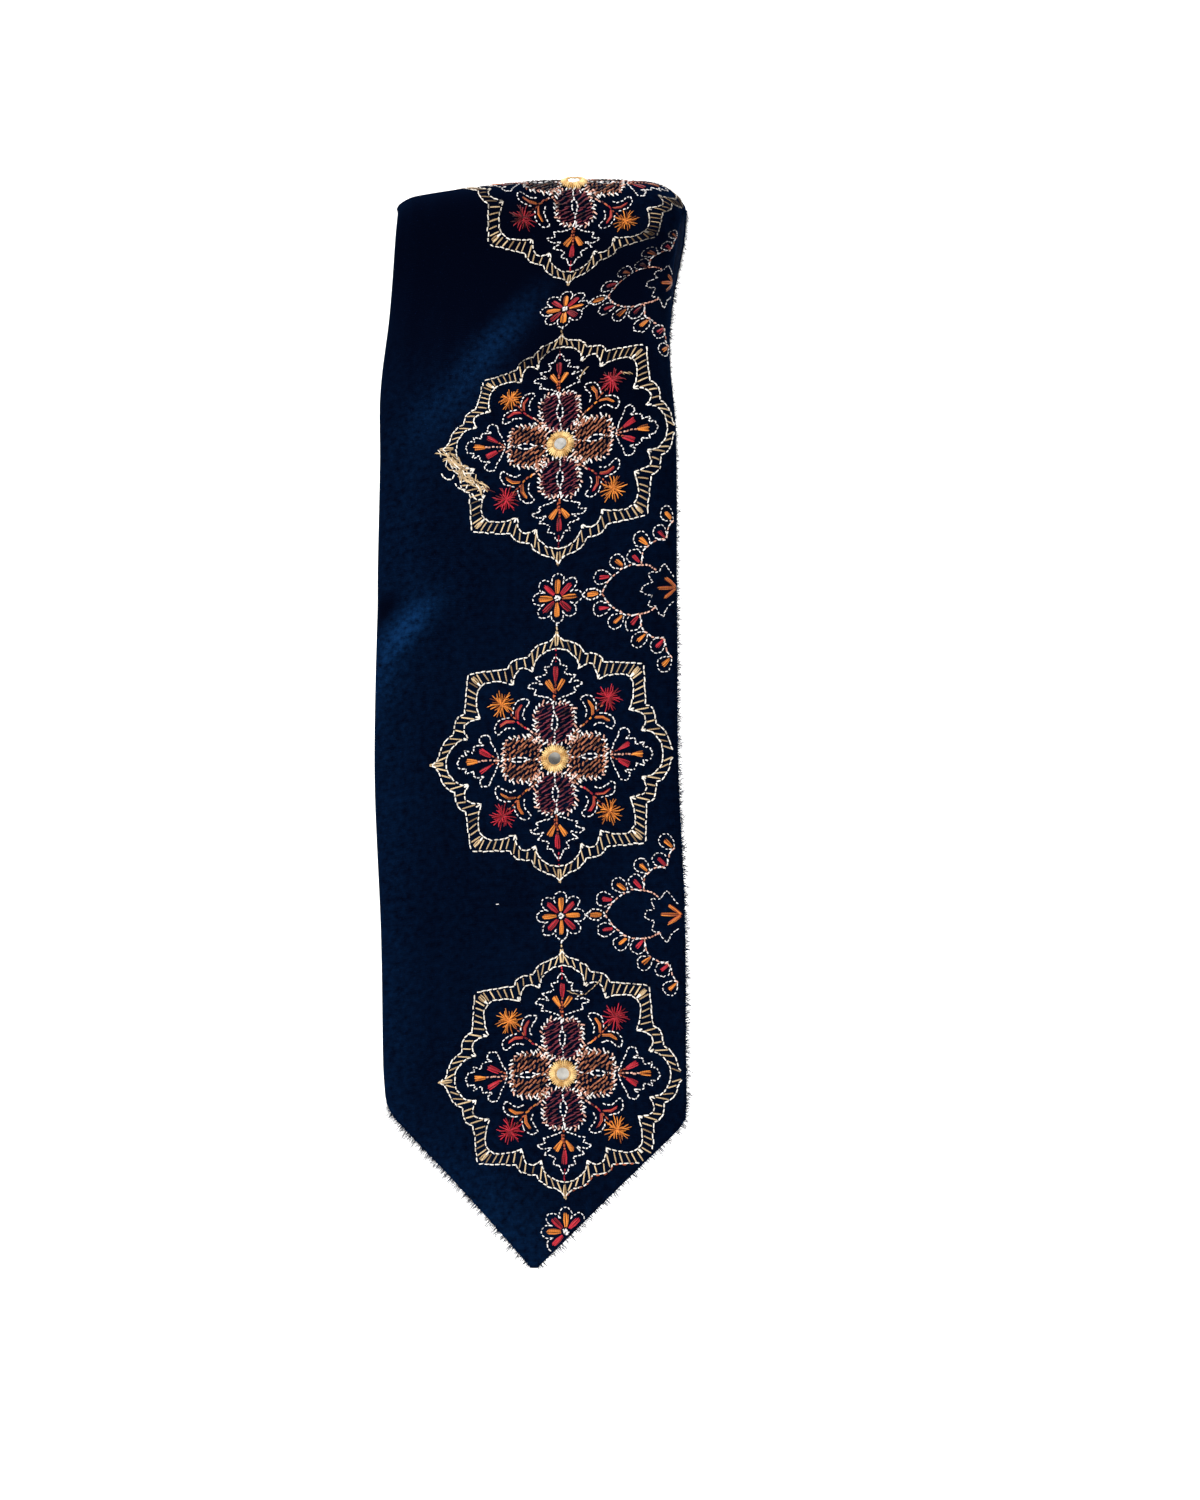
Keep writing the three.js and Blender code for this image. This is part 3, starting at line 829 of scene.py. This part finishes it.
def petal_chart(half, fill, edge, rows, slit_pitch):
    """One upright petal: rows of stitches, a saw-toothed edge, and a slit on a white line."""
    chart = []
    half = np.array(half)
    outline = smooth_line(np.vstack([half, half[:0:-1] * (-1, 1)]), closed=True)
    fill_rows(chart, fill, outline, (SLIT_MIDDLE, SLIT_HALF), **rows)
    zigzag(chart, edge, outline)
    angles = np.linspace(0, 2 * math.pi, SLIT_STEPS)
    slit = np.stack([np.sin(angles), np.cos(angles)], axis=1) * SLIT_HALF * SLIT_INSET + SLIT_MIDDLE
    for line in (slit, *SLIT_ENDS):
        running(chart, "white", line, pitch=slit_pitch, dash=slit_pitch - SLIT_GAP, width=0.7)
    return chart


upright_petal = petal_chart(UPRIGHT_HALF, "maroon", ("white", "white", "white", "rose"), slit_pitch=1.7,
                            rows={"pitch": 1.05, "length": 3.0, "gap": 0.3, "slant": 0.42, "width": 0.56})
side_petal = petal_chart(SIDE_HALF, "copper", ("white", "rose", "cream"), slit_pitch=2.4,
                         rows={"pitch": 1.72, "length": 1.9, "gap": 0.2, "slant": 0.8, "width": 0.8})
side_petal = mirrored(side_petal, swap=True)
petals = upright_petal + mirrored(upright_petal, x=-1, y=-1) + side_petal + mirrored(side_petal, x=-1, y=-1)
print("petals:", len(petals), "stitches")

# %% [markdown]
# Beyond the petals come a leafy spire above and below, a fan at each side, a forked sprig on each
# diagonal and a burst of loose rays in each corner. The diagonals swap their two colours from one quarter
# to the next.

# %% The star's spires, fans, sprigs and bursts
SPIRE_HALF = ((1, 23.9), (5, 25.4), (8.8, 26.4), (7.4, 28.3), (11.4, 29.4), (9.4, 31.2), (5, 30.2),
              (8.5, 33.2), (5.4, 33.8), (3.2, 34.6), (5, 37.3), (2, 37.6), (1.5, 40), (0, 41.6))
FAN_HALF = ((22.9, 0.5), (23.6, 2.4), (24.8, 5.2), (26.1, 7.4), (27, 10.4), (30.2, 10.6), (31.2, 7.9),
            (28.8, 6.4), (33.3, 6.4), (33.4, 3.7), (37.3, 5), (35.9, 2.5), (38.8, 2.7), (39.4, 1.2),
            (40.4, 0))
SPRIG_LEAF = ((12.4, 16), (13.3, 18.4), (12.2, 21), (10.3, 23.4), (12.4, 24.7), (14.9, 24.2), (16.4, 22.4),
              (17, 20.2), (17.2, 18.4))
SPRIG_FORK, SPRIG_TIP, SPRIG_BEND = (15.2, 15.6), (12.9, 23.2), -1.5
CLUSTER_FOOT, CLUSTER_LENGTH, CLUSTER_THREADS = 6.8, 4, ("rose", "copper", "white")
BURST_MIDDLE, BURST_RADIUS, BURST_RAYS, BURST_CORE = (22, 22.9), 6.5, 27, 0.55


def spire_chart():
    half = []
    running(half, "white", SPIRE_HALF, **OUTLINE)
    satin(half, "orange", (0.5, 27.2), (3.9, 32.3), 2.2, flare=1)
    chart = half + mirrored(half, x=-1)
    satin(chart, "crimson", (0, 30.8), (0, 38), 2.3, flare=0.7)
    running(chart, "rust", ((0, 23.2), (0, 31.6)), width=0.9, **VEIN_LINE)
    running(chart, "crimson", ((0, 38.6), (0, 44.4)), pitch=1.6, dash=1.2)
    running(chart, "rust", ((-0.7, 24.5), (-0.9, 28)), **VEIN_LINE)
    return chart


def fan_chart():
    half = []
    running(half, "white", FAN_HALF, **OUTLINE)
    satin(half, "crimson", (25.6, 1.6), (31.4, 4.8), 2.3, flare=0.9)
    running(half, "rust", ((23.2, 0.8), (26.2, 2.0)), **VEIN_LINE)
    chart = half + mirrored(half, y=-1)
    satin(chart, "orange", (31.2, 0), (37, 0), 2.5, flare=1)
    running(chart, "rose", ((22.6, 0), (31.8, 0)), pitch=1.6, dash=1.4, width=0.75)
    return chart


def sprig_chart(leaf, burst):
    half = []
    running(half, "white", smooth_line(SPRIG_LEAF), **HORN_LINE)
    satin(half, leaf, SPRIG_FORK, SPRIG_TIP, 0.9, strands=4, width=0.44, bend=SPRIG_BEND, flare=0.4)
    satin(half, "rust", SPRIG_FORK, SPRIG_TIP, 0.4, strands=2, width=0.36, bend=SPRIG_BEND, rise=0.7)
    chart = half + mirrored(half, swap=True)
    running(chart, "rose", ((8.6, 10.6), (11.6, 12.8)), width=0.75, **VEIN_LINE)
    running(chart, (leaf, "rust"), ((11.2, 12.1), (15.6, 15.8)), pitch=2.0, dash=2.1, width=0.8)
    for side in (-1, 0, 1):
        foot = np.array([CLUSTER_FOOT + side, CLUSTER_FOOT - side])
        running(chart, CLUSTER_THREADS, (foot, foot + CLUSTER_LENGTH - abs(side)), pitch=1.7, dash=1.5,
                width=0.72, rise=0.7, bow=0.25 * side)
    running(chart, "rust", ((15.8, 16.4), (19.8, 20.4)), pitch=1.7, dash=1.4, width=0.6)
    for i in range(BURST_RAYS):
        angle = 2 * math.pi * (i + 0.3 * math.sin(i * 5.1)) / BURST_RAYS
        reach = BURST_RADIUS * (0.8 + 0.2 * math.sin(i * 4.4))
        way = np.array([math.cos(angle), math.sin(angle)])
        end = BURST_MIDDLE + way * reach
        stitch(chart, burst, BURST_MIDDLE + way * 0.8, end, width=0.42, rise=0.5 + 0.4 * (i % 3),
               bow=0.5 * math.sin(i * 7.3))
        if i % 2:
            core = BURST_MIDDLE + way * reach * BURST_CORE
            stitch(chart, burst, BURST_MIDDLE - way * 0.4, core, width=0.5, rise=1.2)
    return chart


spire, fan = spire_chart(), fan_chart()
star = border + petals + spire + mirrored(spire, y=-1) + fan + mirrored(fan, x=-1)
first_quarter, second_quarter = sprig_chart("orange", "crimson"), sprig_chart("crimson", "orange")
star += first_quarter + mirrored(first_quarter, x=-1, y=-1)
star += mirrored(second_quarter, x=-1) + mirrored(second_quarter, y=-1)
print("star:", len(star), "stitches")

# %% [markdown]
# Between two stars sits a small flower of eight satin petals, and from it a vine with two branches of
# looped leaves runs to the right, up to a half flower that the cut edge goes through.

# %% The flower and its vine
FLOWER_PETALS, PETAL_FOOT, PETAL_TIP = 8, 1.3, 8.5
FLOWER_LOOP = ((5.4, -2.3), (7.7, -2.6), (9.4, -1.7), (10.2, 0), (9.4, 1.7), (7.7, 2.6), (5.0, 2.2))
VINE_SHOOTS = (
    ((18.3, 0.2), (21.4, 5), (26.2, 8.6), (30.1, 9.9), (34, 9.7)),
    ((34, 9.7), (34.4, 12.4), (34.9, 15.6), (37.2, 17.5), (40, 19.2), (43.8, 19.6)),
    ((43.8, 19.6), (44.8, 21.6), (45.6, 24.8), (47.9, 27.4)),
)
VINE_LEAVES = (
    {"foot": (22, 6), "middle": (17.7, 6.3), "thread": "crimson"},
    {"foot": (27.4, 9.3), "middle": (24.4, 11.8), "thread": "orange"},
    {"foot": (33.9, 10), "middle": (31.6, 12.8), "thread": "crimson"},
    {"foot": (36.9, 17.1), "middle": (33.4, 20.2), "thread": "orange"},
    {"foot": (44.4, 19.4), "middle": (41.5, 22.2), "thread": "crimson"},
    {"foot": (47.5, 27), "middle": (43.9, 30.2), "thread": "orange"},
)
LEAF_LOOP = ((0, 0.5), (1.6, 1.9), (3.8, 2.9), (6, 2.5), (7.2, 0))
HALF_FLOWER = ((48.6, 4.3), (45.4, 8), (43.8, 10.1), (42.3, 8.3), (40.9, 6.4), (37.4, 6.7), (36.9, 4.7),
               (38.9, 2.6), (34.9, 1.4), (34.1, -0.7), (35.9, -2.4), (38.4, -2.4), (36.9, -6.7),
               (40.4, -6.9), (41.8, -10), (43.8, -11.2), (45.3, -7.3), (48.6, -5.1))
BUD_HALF = ((10.4, 0), (12.6, 2), (15.6, 2), (18.2, 0))
HALF_FLOWER_HEART, HALF_FLOWER_RAYS = (50, 0.3), ((40, 0.2), (43.6, 4.6), (43.2, -4.2))


def leaf_chart(foot, middle, thread):
    chart = []
    foot, way = np.array(foot), np.array(middle) - foot
    way = way / np.hypot(*way)
    side = np.array([-way[1], way[0]])
    loop = np.array(LEAF_LOOP)
    loop = np.vstack([loop, loop[-2::-1] * (1, -1)])
    line = foot + loop[:, :1] * way + loop[:, 1:] * side
    running(chart, "white", smooth_line(line), **LEAF_LINE)
    satin(chart, thread, foot + way * 0.4, foot + way * 5.5, 1.6, strands=4, width=0.44, flare=0.95)
    return chart


def flower_chart():
    chart = []
    for i in range(FLOWER_PETALS):
        angle = math.pi / 2 + i * 2 * math.pi / FLOWER_PETALS
        way = np.array([math.cos(angle), math.sin(angle)])
        side = np.array([-way[1], way[0]])
        thread = "crimson" if i % 2 else "orange"
        satin(chart, thread, way * PETAL_FOOT, way * PETAL_TIP, 2.3, strands=5, width=0.48, flare=0.6)
        loop = np.array(FLOWER_LOOP)
        running(chart, "white", smooth_line(loop[:, :1] * way + loop[:, 1:] * side), **FLOWER_LINE)
        stitch(chart, "white", way * 0.2, way * PETAL_FOOT, width=0.7, rise=0.9)
    running(chart, ("white", "gold"), ((0, -10), (0, -13.4)), pitch=1.6, dash=1.5, width=0.7)
    return chart


def vine_chart():
    chart = []
    for shoot in VINE_SHOOTS:
        running(chart, ("rose", "white"), smooth_line(shoot), **STEM_LINE)
    for leaf in VINE_LEAVES:
        chart += leaf_chart(**leaf)
    running(chart, "rose", ((34, 9.7), (37.4, 9.2), (40.4, 7.2)), pitch=1.5, dash=1.4, width=0.7)
    chart += mirrored(chart, y=-1)
    for side in (1, -1):
        running(chart, "white", smooth_line(BUD_HALF) * (1, side), **BUD_LINE)
    satin(chart, "orange", (17.2, 0), (11.4, 0), 1.9, strands=4, flare=0.3)
    running(chart, "white", HALF_FLOWER, **HALF_FLOWER_LINE)
    for tip in HALF_FLOWER_RAYS:
        satin(chart, "orange", HALF_FLOWER_HEART, tip, 1.3, strands=3, flare=0.5)
        satin(chart, "rust", HALF_FLOWER_HEART, tip, 0.9, strands=2, width=0.45, flare=0.5, rise=0.65)
    return chart


flower = flower_chart() + vine_chart()
print("flower and vine:", len(flower), "stitches")

# %% [markdown]
# Worn places make the band a used thing. On one star a stretch of the border has come loose into a tangle
# of cream and gold strands, another star's lower edge was gone over in rust, and a few ends of thread
# stand free. The tangle is drawn with seeded chance, so it comes out the same every time.

# %% Worn places
TANGLE_LINE = ((-48.6, -2.5), (-44, -8), (-38, -13.5), (-31.5, -18))
TANGLE_STRANDS, CREAM_EVERY = 66, 6
TANGLE_TURN, TANGLE_SCATTER, TANGLE_BOW = 0.45, 1.1, 0.7
HALF_STRAND_RANGE, TANGLE_RISE_RANGE = (1.8, 3.8), (0.6, 1.3)
TANGLE_LOOPS = ((-47, -11), (-41, -15.4), (-34, -20))
STRAY_STITCHES = ((25.2, 26), (26.4, 25.6), (27.6, 25.4), (28.6, 25))
LOOSE_END = ((1.8, 34.1), (7.6, 32), (12.8, 35.2), (15.9, 38.9))


def tangle_chart():
    chart = []
    length, at = walker(TANGLE_LINE)
    (first_x, first_y), (last_x, last_y) = TANGLE_LINE[0], TANGLE_LINE[-1]
    heading = math.atan2(last_y - first_y, last_x - first_x)
    for i in range(TANGLE_STRANDS):
        angle = heading + chance.normal(0, TANGLE_TURN)
        half = np.array([math.cos(angle), math.sin(angle)]) * chance.uniform(*HALF_STRAND_RANGE)
        middle = at(length * (i + 0.5) / TANGLE_STRANDS) + chance.normal(0, TANGLE_SCATTER, 2)
        thread = "cream" if i % CREAM_EVERY == 0 else "gold"
        rise, bow = chance.uniform(*TANGLE_RISE_RANGE), chance.normal(0, TANGLE_BOW)
        stitch(chart, thread, middle - half, middle + half, 0.52, rise, bow)
    for x, y in TANGLE_LOOPS:
        loop = smooth_line(((x - 2.6, y + 0.6), (x - 1, y - 2), (x + 2, y - 2.6), (x + 3, y - 0.4)))
        running(chart, "cream", loop, pitch=2.2, dash=2.1, width=0.6, rise=0.8)
    stitch(chart, "crimson", (-33, -17), (-26, -20), 0.5, rise=0.8)
    stitch(chart, "gold", (8.5, 26.9), (12.9, 32.4), 0.45, rise=1.0, bow=0.6)
    for x, y in STRAY_STITCHES:
        stitch(chart, "gold", (x, y), (x + 2.2, y - 1.6), 0.45, rise=0.8)
    return chart


def gone_over_chart():
    chart = []
    for run in BORDER_RUNS:
        beside = smooth_line(run["outer"]) * (1, -1) + (0.3, -0.3)
        running(chart, "rust", beside, pitch=3.2, dash=1.9, rise=0.9)
    running(chart, "gold", smooth_line(LOOSE_END), pitch=1.6, dash=1.8, width=0.36, rise=0.9)
    return chart


tangle, gone_over = tangle_chart(), gone_over_chart()
lint = []
stitch(lint, "white", (-26.8, 0.2), (-25.2, -0.2), 0.4, rise=0.5)
print("worn places:", len(tangle) + len(gone_over), "stitches")

# %% [markdown]
# Now the charts are laid on the flat cloth, a star every 130 mm with a flower halfway to the next.
# Stitches past the cut edges are left out, because the strip was cut from embroidered cloth. Each stitch
# moves a little, as thread does, and more where the sewing has puckered the cloth. It also gets a shade
# of its own, made darker by painted shade in a few patches where the light hardly reaches, whose table
# has the same columns as the folds.

# %% Lay the charts on the cloth and sew them
FIRST_STAR, STAR_PITCH, STAR_COUNT = -420, 130, 7
EDGE_MARGIN = 0.5
WANDER = 0.17
WIDTH_RANGE = (0.9, 1.1)
MEAN_SHADE, SHADE_SPREAD, DEEPEST_PAINTED_SHADE = 0.5, 0.33, -0.8
# Patches of painted shade on the threads, where little light reaches.
PAINTED_SHADE_PATCHES = (
    (-119, -20, 15, 24, 10, -1.15),
    (-48, 43, 67, 38, 9, -1.3),
    (-72, 18, 22, 24, 7.5, -0.95),
    (-42, -30, 10, 30, 18, -0.6),
    (-22, 10, 0, 70, 13, -0.75),
    (-92, 36, 90, 34, 20, -0.5),
)
PUCKER_COLUMNS = ("along", "across", "radius", "move_along", "move_across")
PUCKERS = ((-124, -36, 20, -4.5, 4.5), (-158, -49, 12, 0, 1.5), (-225, 20, 40, 1.2, 0))
TANGLED_STAR, GONE_OVER_STAR = -160, -420
LINT_ALONG = -348.4
stitches = {thread: [] for thread in THREADS if thread != "ring"}


def puckered(ends):
    """Two ends of a stitch, moved where the sewing has drawn the cloth together."""
    across, along = ends[::2].copy(), ends[1::2].copy()
    for row in PUCKERS:
        pucker = dict(zip(PUCKER_COLUMNS, row))
        distance = np.hypot(across - pucker["across"], along - pucker["along"]) / pucker["radius"]
        pull = np.exp(-distance ** 2)
        across, along = across + pull * pucker["move_across"], along + pull * pucker["move_along"]
    return np.stack([across, along], axis=1).ravel()


def lay(chart, along):
    """Add a chart to the stitch lists, centred on the line of mirrors at this place along the cloth."""
    for thread, ax, ay, bx, by, width, rise, bow, *lifts in chart:
        ends = puckered(np.array([ax, ay + along, bx, by + along]) + chance.normal(0, WANDER, 4))
        # A random tone, partly painted highlight, darkened by the patches of painted shade.
        shade = chance.normal(MEAN_SHADE, SHADE_SPREAD) + patches(PAINTED_SHADE_PATCHES, ends[1], ends[0])
        shade = float(np.clip(shade, DEEPEST_PAINTED_SHADE, 1))
        left, right = cut_edges(ends[1::2])
        inside = (ends[::2] > left + EDGE_MARGIN) & (ends[::2] < right - EDGE_MARGIN)
        if inside.all() and np.abs(ends[1::2]).max() < HALF_LENGTH - EDGE_MARGIN:
            own_width = width * chance.uniform(*WIDTH_RANGE)
            stitches[thread].append((*ends, own_width, rise, bow, *lifts, shade))


star_places = [FIRST_STAR + i * STAR_PITCH for i in range(STAR_COUNT)]
for place in star_places + [star_places[-1] + STAR_PITCH]:
    lay(star, place)
for place in [FIRST_STAR - STAR_PITCH / 2] + [place + STAR_PITCH / 2 for place in star_places]:
    lay(flower, place)
lay(tangle, TANGLED_STAR)
lay(gone_over, GONE_OVER_STAR)
lay(lint, LINT_ALONG)
for thread, rows in stitches.items():
    sew(f"embroidery_{thread}", rows, thread)

# %% [markdown]
# Each mirror is a small glass disc, so its solid stays and only gets its finish: bright metal with a
# little haze and a slow wave in the glass. The ring that holds it is real thread work: spokes wound
# tightly over the rim, with painted highlight and painted shade that come and go round it in bundles,
# and a cord round the hole kept dark as painted shade.

# %% Mirrors and their rings
HAZE_DARK, HAZE_LIGHT = (0.26, 0.24, 0.21, 1), (0.7, 0.69, 0.66, 1)
CLEAR_ROUGHNESS, HAZE_ROUGHNESS = 0.02, 0.22


def mirror_material():
    material, tree, shader = new_material("mirror_glass")
    place = add(tree, "ShaderNodeTexCoord").outputs["Object"]
    haze = noise(tree, place, scale=420.0, detail=4.0)
    wave = noise(tree, place, scale=130.0, detail=0.0)
    roughness = math_node(tree, "MULTIPLY_ADD", haze, HAZE_ROUGHNESS, CLEAR_ROUGHNESS)
    colour = mixed(tree, haze, HAZE_DARK, HAZE_LIGHT)
    dress(tree, shader, colour, roughness, height=wave, strength=0.5, distance=0.002)
    shader.inputs["Metallic"].default_value = 1.0
    return material


RING_OUTER, RING_INNER, RING_HOLE = 6.0, 2.95, 2.7
RING_SPOKES, RING_CORDS, CORD_STEP = 36, 20, 0.4
RING_TURN = 2.1
SPOKE_LIFT = 1.1


def ring_chart(turn):
    """Stitches of a ring, each with its shade; turn sets where the bundles of thread catch the light."""
    chart, shades = [], []
    for i in range(RING_SPOKES):
        angle = 2 * math.pi * i / RING_SPOKES
        way = np.array([math.cos(angle), math.sin(angle)])
        reach = RING_OUTER + 0.35 * math.sin(i * 2.6)
        rise = 0.7 + 0.2 * math.sin(i * 3.7)
        stitch(chart, "ring", way * RING_INNER, way * reach, width=0.8, rise=rise, lifts=(SPOKE_LIFT, -0.2))
        # Painted highlight and painted shade, coming and going round the ring in bundles.
        shades.append(0.55 + 0.34 * math.sin(2 * angle + turn) + 0.3 * math.sin(7 * angle + 2 * turn))
    for i in range(RING_CORDS):
        angles = 2 * math.pi * (np.array([i - 0.75, i + 0.75])) / RING_CORDS
        radii = np.array([[RING_HOLE], [RING_HOLE + CORD_STEP]])
        ends = np.stack([np.cos(angles), np.sin(angles)], axis=1) * radii
        stitch(chart, "ring", ends[0], ends[1], width=0.5, rise=0.15, lifts=(SPOKE_LIFT, SPOKE_LIFT))
        # The cords round the hole are kept dark: painted shade in the hollow by the mirror.
        shades.append(0.12 + 0.2 * (i % 2))
    return [(*row[1:], float(np.clip(shade, 0, 1))) for row, shade in zip(chart, shades)]


MIRROR = mirror_material()
for number, place in enumerate(star_places, 1):
    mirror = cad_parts[f"mirror_{number}"]
    mirror.data.materials.clear()
    mirror.data.materials.append(MIRROR)
    chart = ring_chart(number * RING_TURN)
    rows = [(ax, ay + place, bx, by + place, *look) for ax, ay, bx, by, *look in chart]
    ring = sew(f"wound_ring_{number}", rows, "ring")
    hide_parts(f"mirror_ring_{number}")

# %% [markdown]
# Along the raw right edge and the slanting cuts the pile stands free and a little ragged. A fibre is a
# thin cone with three sides, and some twelve thousand of them along the cut edges are again one mesh.

# %% Loose pile along the cut edges
FIBRES_PER_MM = 11
FIBRE_LENGTH, FIBRE_GIRTH, FIBRE_EVENNESS = 2.0, 0.28, 6
FIBRE_ROOT, FIBRE_SCATTER, FIBRE_LEAN = 0.4, 0.4, 0.45
GIRTH_RANGE, LIFT_RANGE, FIBRE_PAINTED_SHEEN_RANGE = (0.5, 1.1), (0.3, 1.5), (0.25, 0.9)
RISE_MEAN, RISE_SPREAD = 0.1, 0.25
TIP_MARGIN, CUT_SLANT = 0.2, 0.9
RAGGED_WAVES = ((0.3, 1.7, 0), (0.25, 3.9, 1), (0.2, 0.61, 0))


def loose_pile():
    bm = bmesh.new()
    bmesh.ops.create_cone(bm, cap_ends=True, cap_tris=True, segments=3, radius1=1, radius2=0.25, depth=2)
    bmesh.ops.triangulate(bm, faces=bm.faces)
    bm.verts.index_update()
    cone = np.array([v.co[:] for v in bm.verts])
    triangles = np.array([[v.index for v in f.verts] for f in bm.faces])
    bm.free()
    edges = [(along, 1) for along in np.arange(-HALF_LENGTH, HALF_LENGTH, 1 / FIBRES_PER_MM)]
    slanting = np.arange(HALF_LENGTH - LEFT_SHOULDER, HALF_LENGTH, 1 / FIBRES_PER_MM)
    edges += [(end * along, 0) for along in slanting for end in (-1, 1)]
    along = np.array([e[0] for e in edges]) + chance.uniform(-FIBRE_SCATTER, FIBRE_SCATTER, len(edges))
    along = np.clip(along, TIP_MARGIN - HALF_LENGTH, HALF_LENGTH - TIP_MARGIN)
    side = np.array([e[1] for e in edges])
    across = np.where(side, cut_edges(along)[1], cut_edges(along)[0])
    count = len(along)
    out = np.where(side, 1, -1)
    shoulder = np.where(side, RIGHT_SHOULDER, LEFT_SHOULDER)
    slant = np.where(HALF_LENGTH - np.abs(along) < shoulder, np.sign(along) * CUT_SLANT, 0)
    ragged = 1 + sum(height * np.sin(along * rate + start) for height, rate, start in RAGGED_WAVES)
    length = FIBRE_LENGTH * ragged * chance.gamma(FIBRE_EVENNESS, 1 / FIBRE_EVENNESS, count)
    girth = FIBRE_GIRTH * chance.uniform(*GIRTH_RANGE, count)
    reach = ((cone[:, 2] + 1) / 2)[None, :] * length[:, None] - FIBRE_ROOT
    lean = chance.normal(0, FIBRE_LEAN, count)[:, None]
    flat_across = across[:, None] + out[:, None] * reach + cone[None, :, 0] * girth[:, None] / 2
    flat_along = along[:, None] + (slant[:, None] + lean) * reach + cone[None, :, 1] * girth[:, None] / 2
    lift = chance.uniform(*LIFT_RANGE, count)[:, None]
    lift = lift + chance.normal(RISE_MEAN, RISE_SPREAD, count)[:, None] * reach
    points = drape(flat_along.ravel(), flat_across.ravel(), lift.ravel())
    mesh = bpy.data.meshes.new("loose_pile")
    every = (triangles + np.arange(count)[:, None, None] * len(cone)).reshape(-1, 3)
    mesh.from_pydata(points, [], every)
    flat = np.stack([flat_across.ravel(), flat_along.ravel()], axis=1)[every.ravel()] * UV_PER_MM
    mesh.uv_layers.new(name="flat").data.foreach_set("uv", flat.ravel())
    # Each fibre gets a lighter blue than the cloth: painted sheen on the free pile.
    nap_and_painted_sheen = mesh.attributes.new("nap_and_painted_sheen", "FLOAT", "POINT")
    nap_and_painted_sheen.data.foreach_set("value", np.repeat(chance.uniform(*FIBRE_PAINTED_SHEEN_RANGE, count), len(cone)))
    print("loose pile:", count, "fibres,", len(every), "triangles")
    return show_piece(mesh, VELVET)


fibres = loose_pile()

# %% [markdown]
# The corners cut off at the two points make the cloth's area less than its width times its length, and
# their area is worked out here.

corner_area = (TIP_ACROSS - TIP_WIDTH / 2 - LEFT_CUT) * LEFT_SHOULDER
corner_area += (RIGHT_CUT - TIP_ACROSS - TIP_WIDTH / 2) * RIGHT_SHOULDER

# %% [markdown]
# The stage is a pale sweep: floor and backdrop in one bent sheet, so that no horizon shows behind the
# band. Large soft lights stand round it, the key to the left and above, as a window would be.

# %% Stage and light
FLOOR_Z = -0.62
SWEEP_WIDTH, SWEEP_FRONT, SWEEP_BACK, SWEEP_TOP, SWEEP_BEND = 30.0, -14.0, 2.2, 5.0, 1.0
SWEEP_DARK, SWEEP_LIGHT = (0.86, 0.86, 0.86, 1), (0.9, 0.9, 0.9, 1)
MIDDLE, BACKDROP = (0, 0, -0.24), (0, 1.7, -0.3)
NEUTRAL, WARM, WARMER = (1, 1, 1), (1.0, 0.98, 0.95), (1.0, 0.95, 0.9)
LIGHT_COLUMNS = ("name", "place", "target", "size", "power", "colour")
LIGHTS = (
    ("window_key", (-1.5, -1.8, 1.1), MIDDLE, 0.7, 76, WARM),
    ("right_fill", (1.8, -1.7, 0.4), MIDDLE, 1.4, 12, WARMER),
    ("high_window", (0.1, -2.6, 1.2), MIDDLE, 1.0, 3, NEUTRAL),
    ("back_wash", (0.2, 0.9, 1.9), BACKDROP, 2.2, 90, NEUTRAL),
)
WORLD_STRENGTH = 0.24


def sweep_material():
    material, tree, shader = new_material("pale_sweep")
    place = add(tree, "ShaderNodeTexCoord").outputs["Object"]
    colour = mixed(tree, noise(tree, place, scale=3.0, detail=2.0), SWEEP_DARK, SWEEP_LIGHT)
    fill(tree, shader.inputs["Base Color"], colour)
    shader.inputs["Roughness"].default_value = 0.9
    shader.inputs["Specular IOR Level"].default_value = 0.1
    return material


def only_verts(geometry):
    return [part for part in geometry if isinstance(part, bmesh.types.BMVert)]


def sweep():
    bm = bmesh.new()
    left = [bm.verts.new((-SWEEP_WIDTH / 2, y, FLOOR_Z)) for y in (SWEEP_FRONT, SWEEP_BACK - SWEEP_BEND)]
    bm.edges.new(left)
    axis = Vector((0, SWEEP_BACK - SWEEP_BEND, FLOOR_Z + SWEEP_BEND))
    bend = bmesh.ops.spin(bm, geom=[left[1]], cent=axis, axis=(1, 0, 0), angle=math.pi / 2, steps=16)
    last = only_verts(bend["geom_last"])[0]
    top = bm.verts.new((last.co.x, last.co.y, SWEEP_TOP))
    bm.edges.new((last, top))
    wide = bmesh.ops.extrude_edge_only(bm, edges=list(bm.edges))["geom"]
    bmesh.ops.translate(bm, vec=(SWEEP_WIDTH, 0, 0), verts=only_verts(wide))
    bmesh.ops.recalc_face_normals(bm, faces=bm.faces)
    stage = show_mesh(to_mesh(bm, "sweep"), sweep_material())


def soft_light(name, place, target, size, power, colour):
    lamp = bpy.data.lights.new(name, "AREA")
    lamp.shape, lamp.size, lamp.energy, lamp.color = "DISK", size, power, colour
    light = bpy.data.objects.new(name, lamp)
    light.location = place
    light.rotation_euler = (Vector(target) - Vector(place)).to_track_quat("-Z", "Y").to_euler()
    bpy.context.scene.collection.objects.link(light)


sweep()
for row in LIGHTS:
    soft_light(**dict(zip(LIGHT_COLUMNS, row)))
world = bpy.data.worlds.new("studio")
world.use_nodes = True
air = world.node_tree.nodes["Background"].inputs
air["Color"].default_value = (*NEUTRAL, 1)
air["Strength"].default_value = WORLD_STRENGTH
bpy.context.scene.world = world
bpy.context.scene.view_settings.view_transform = "Standard"
print("floor at", FLOOR_Z, "and", len(LIGHTS), "lights")
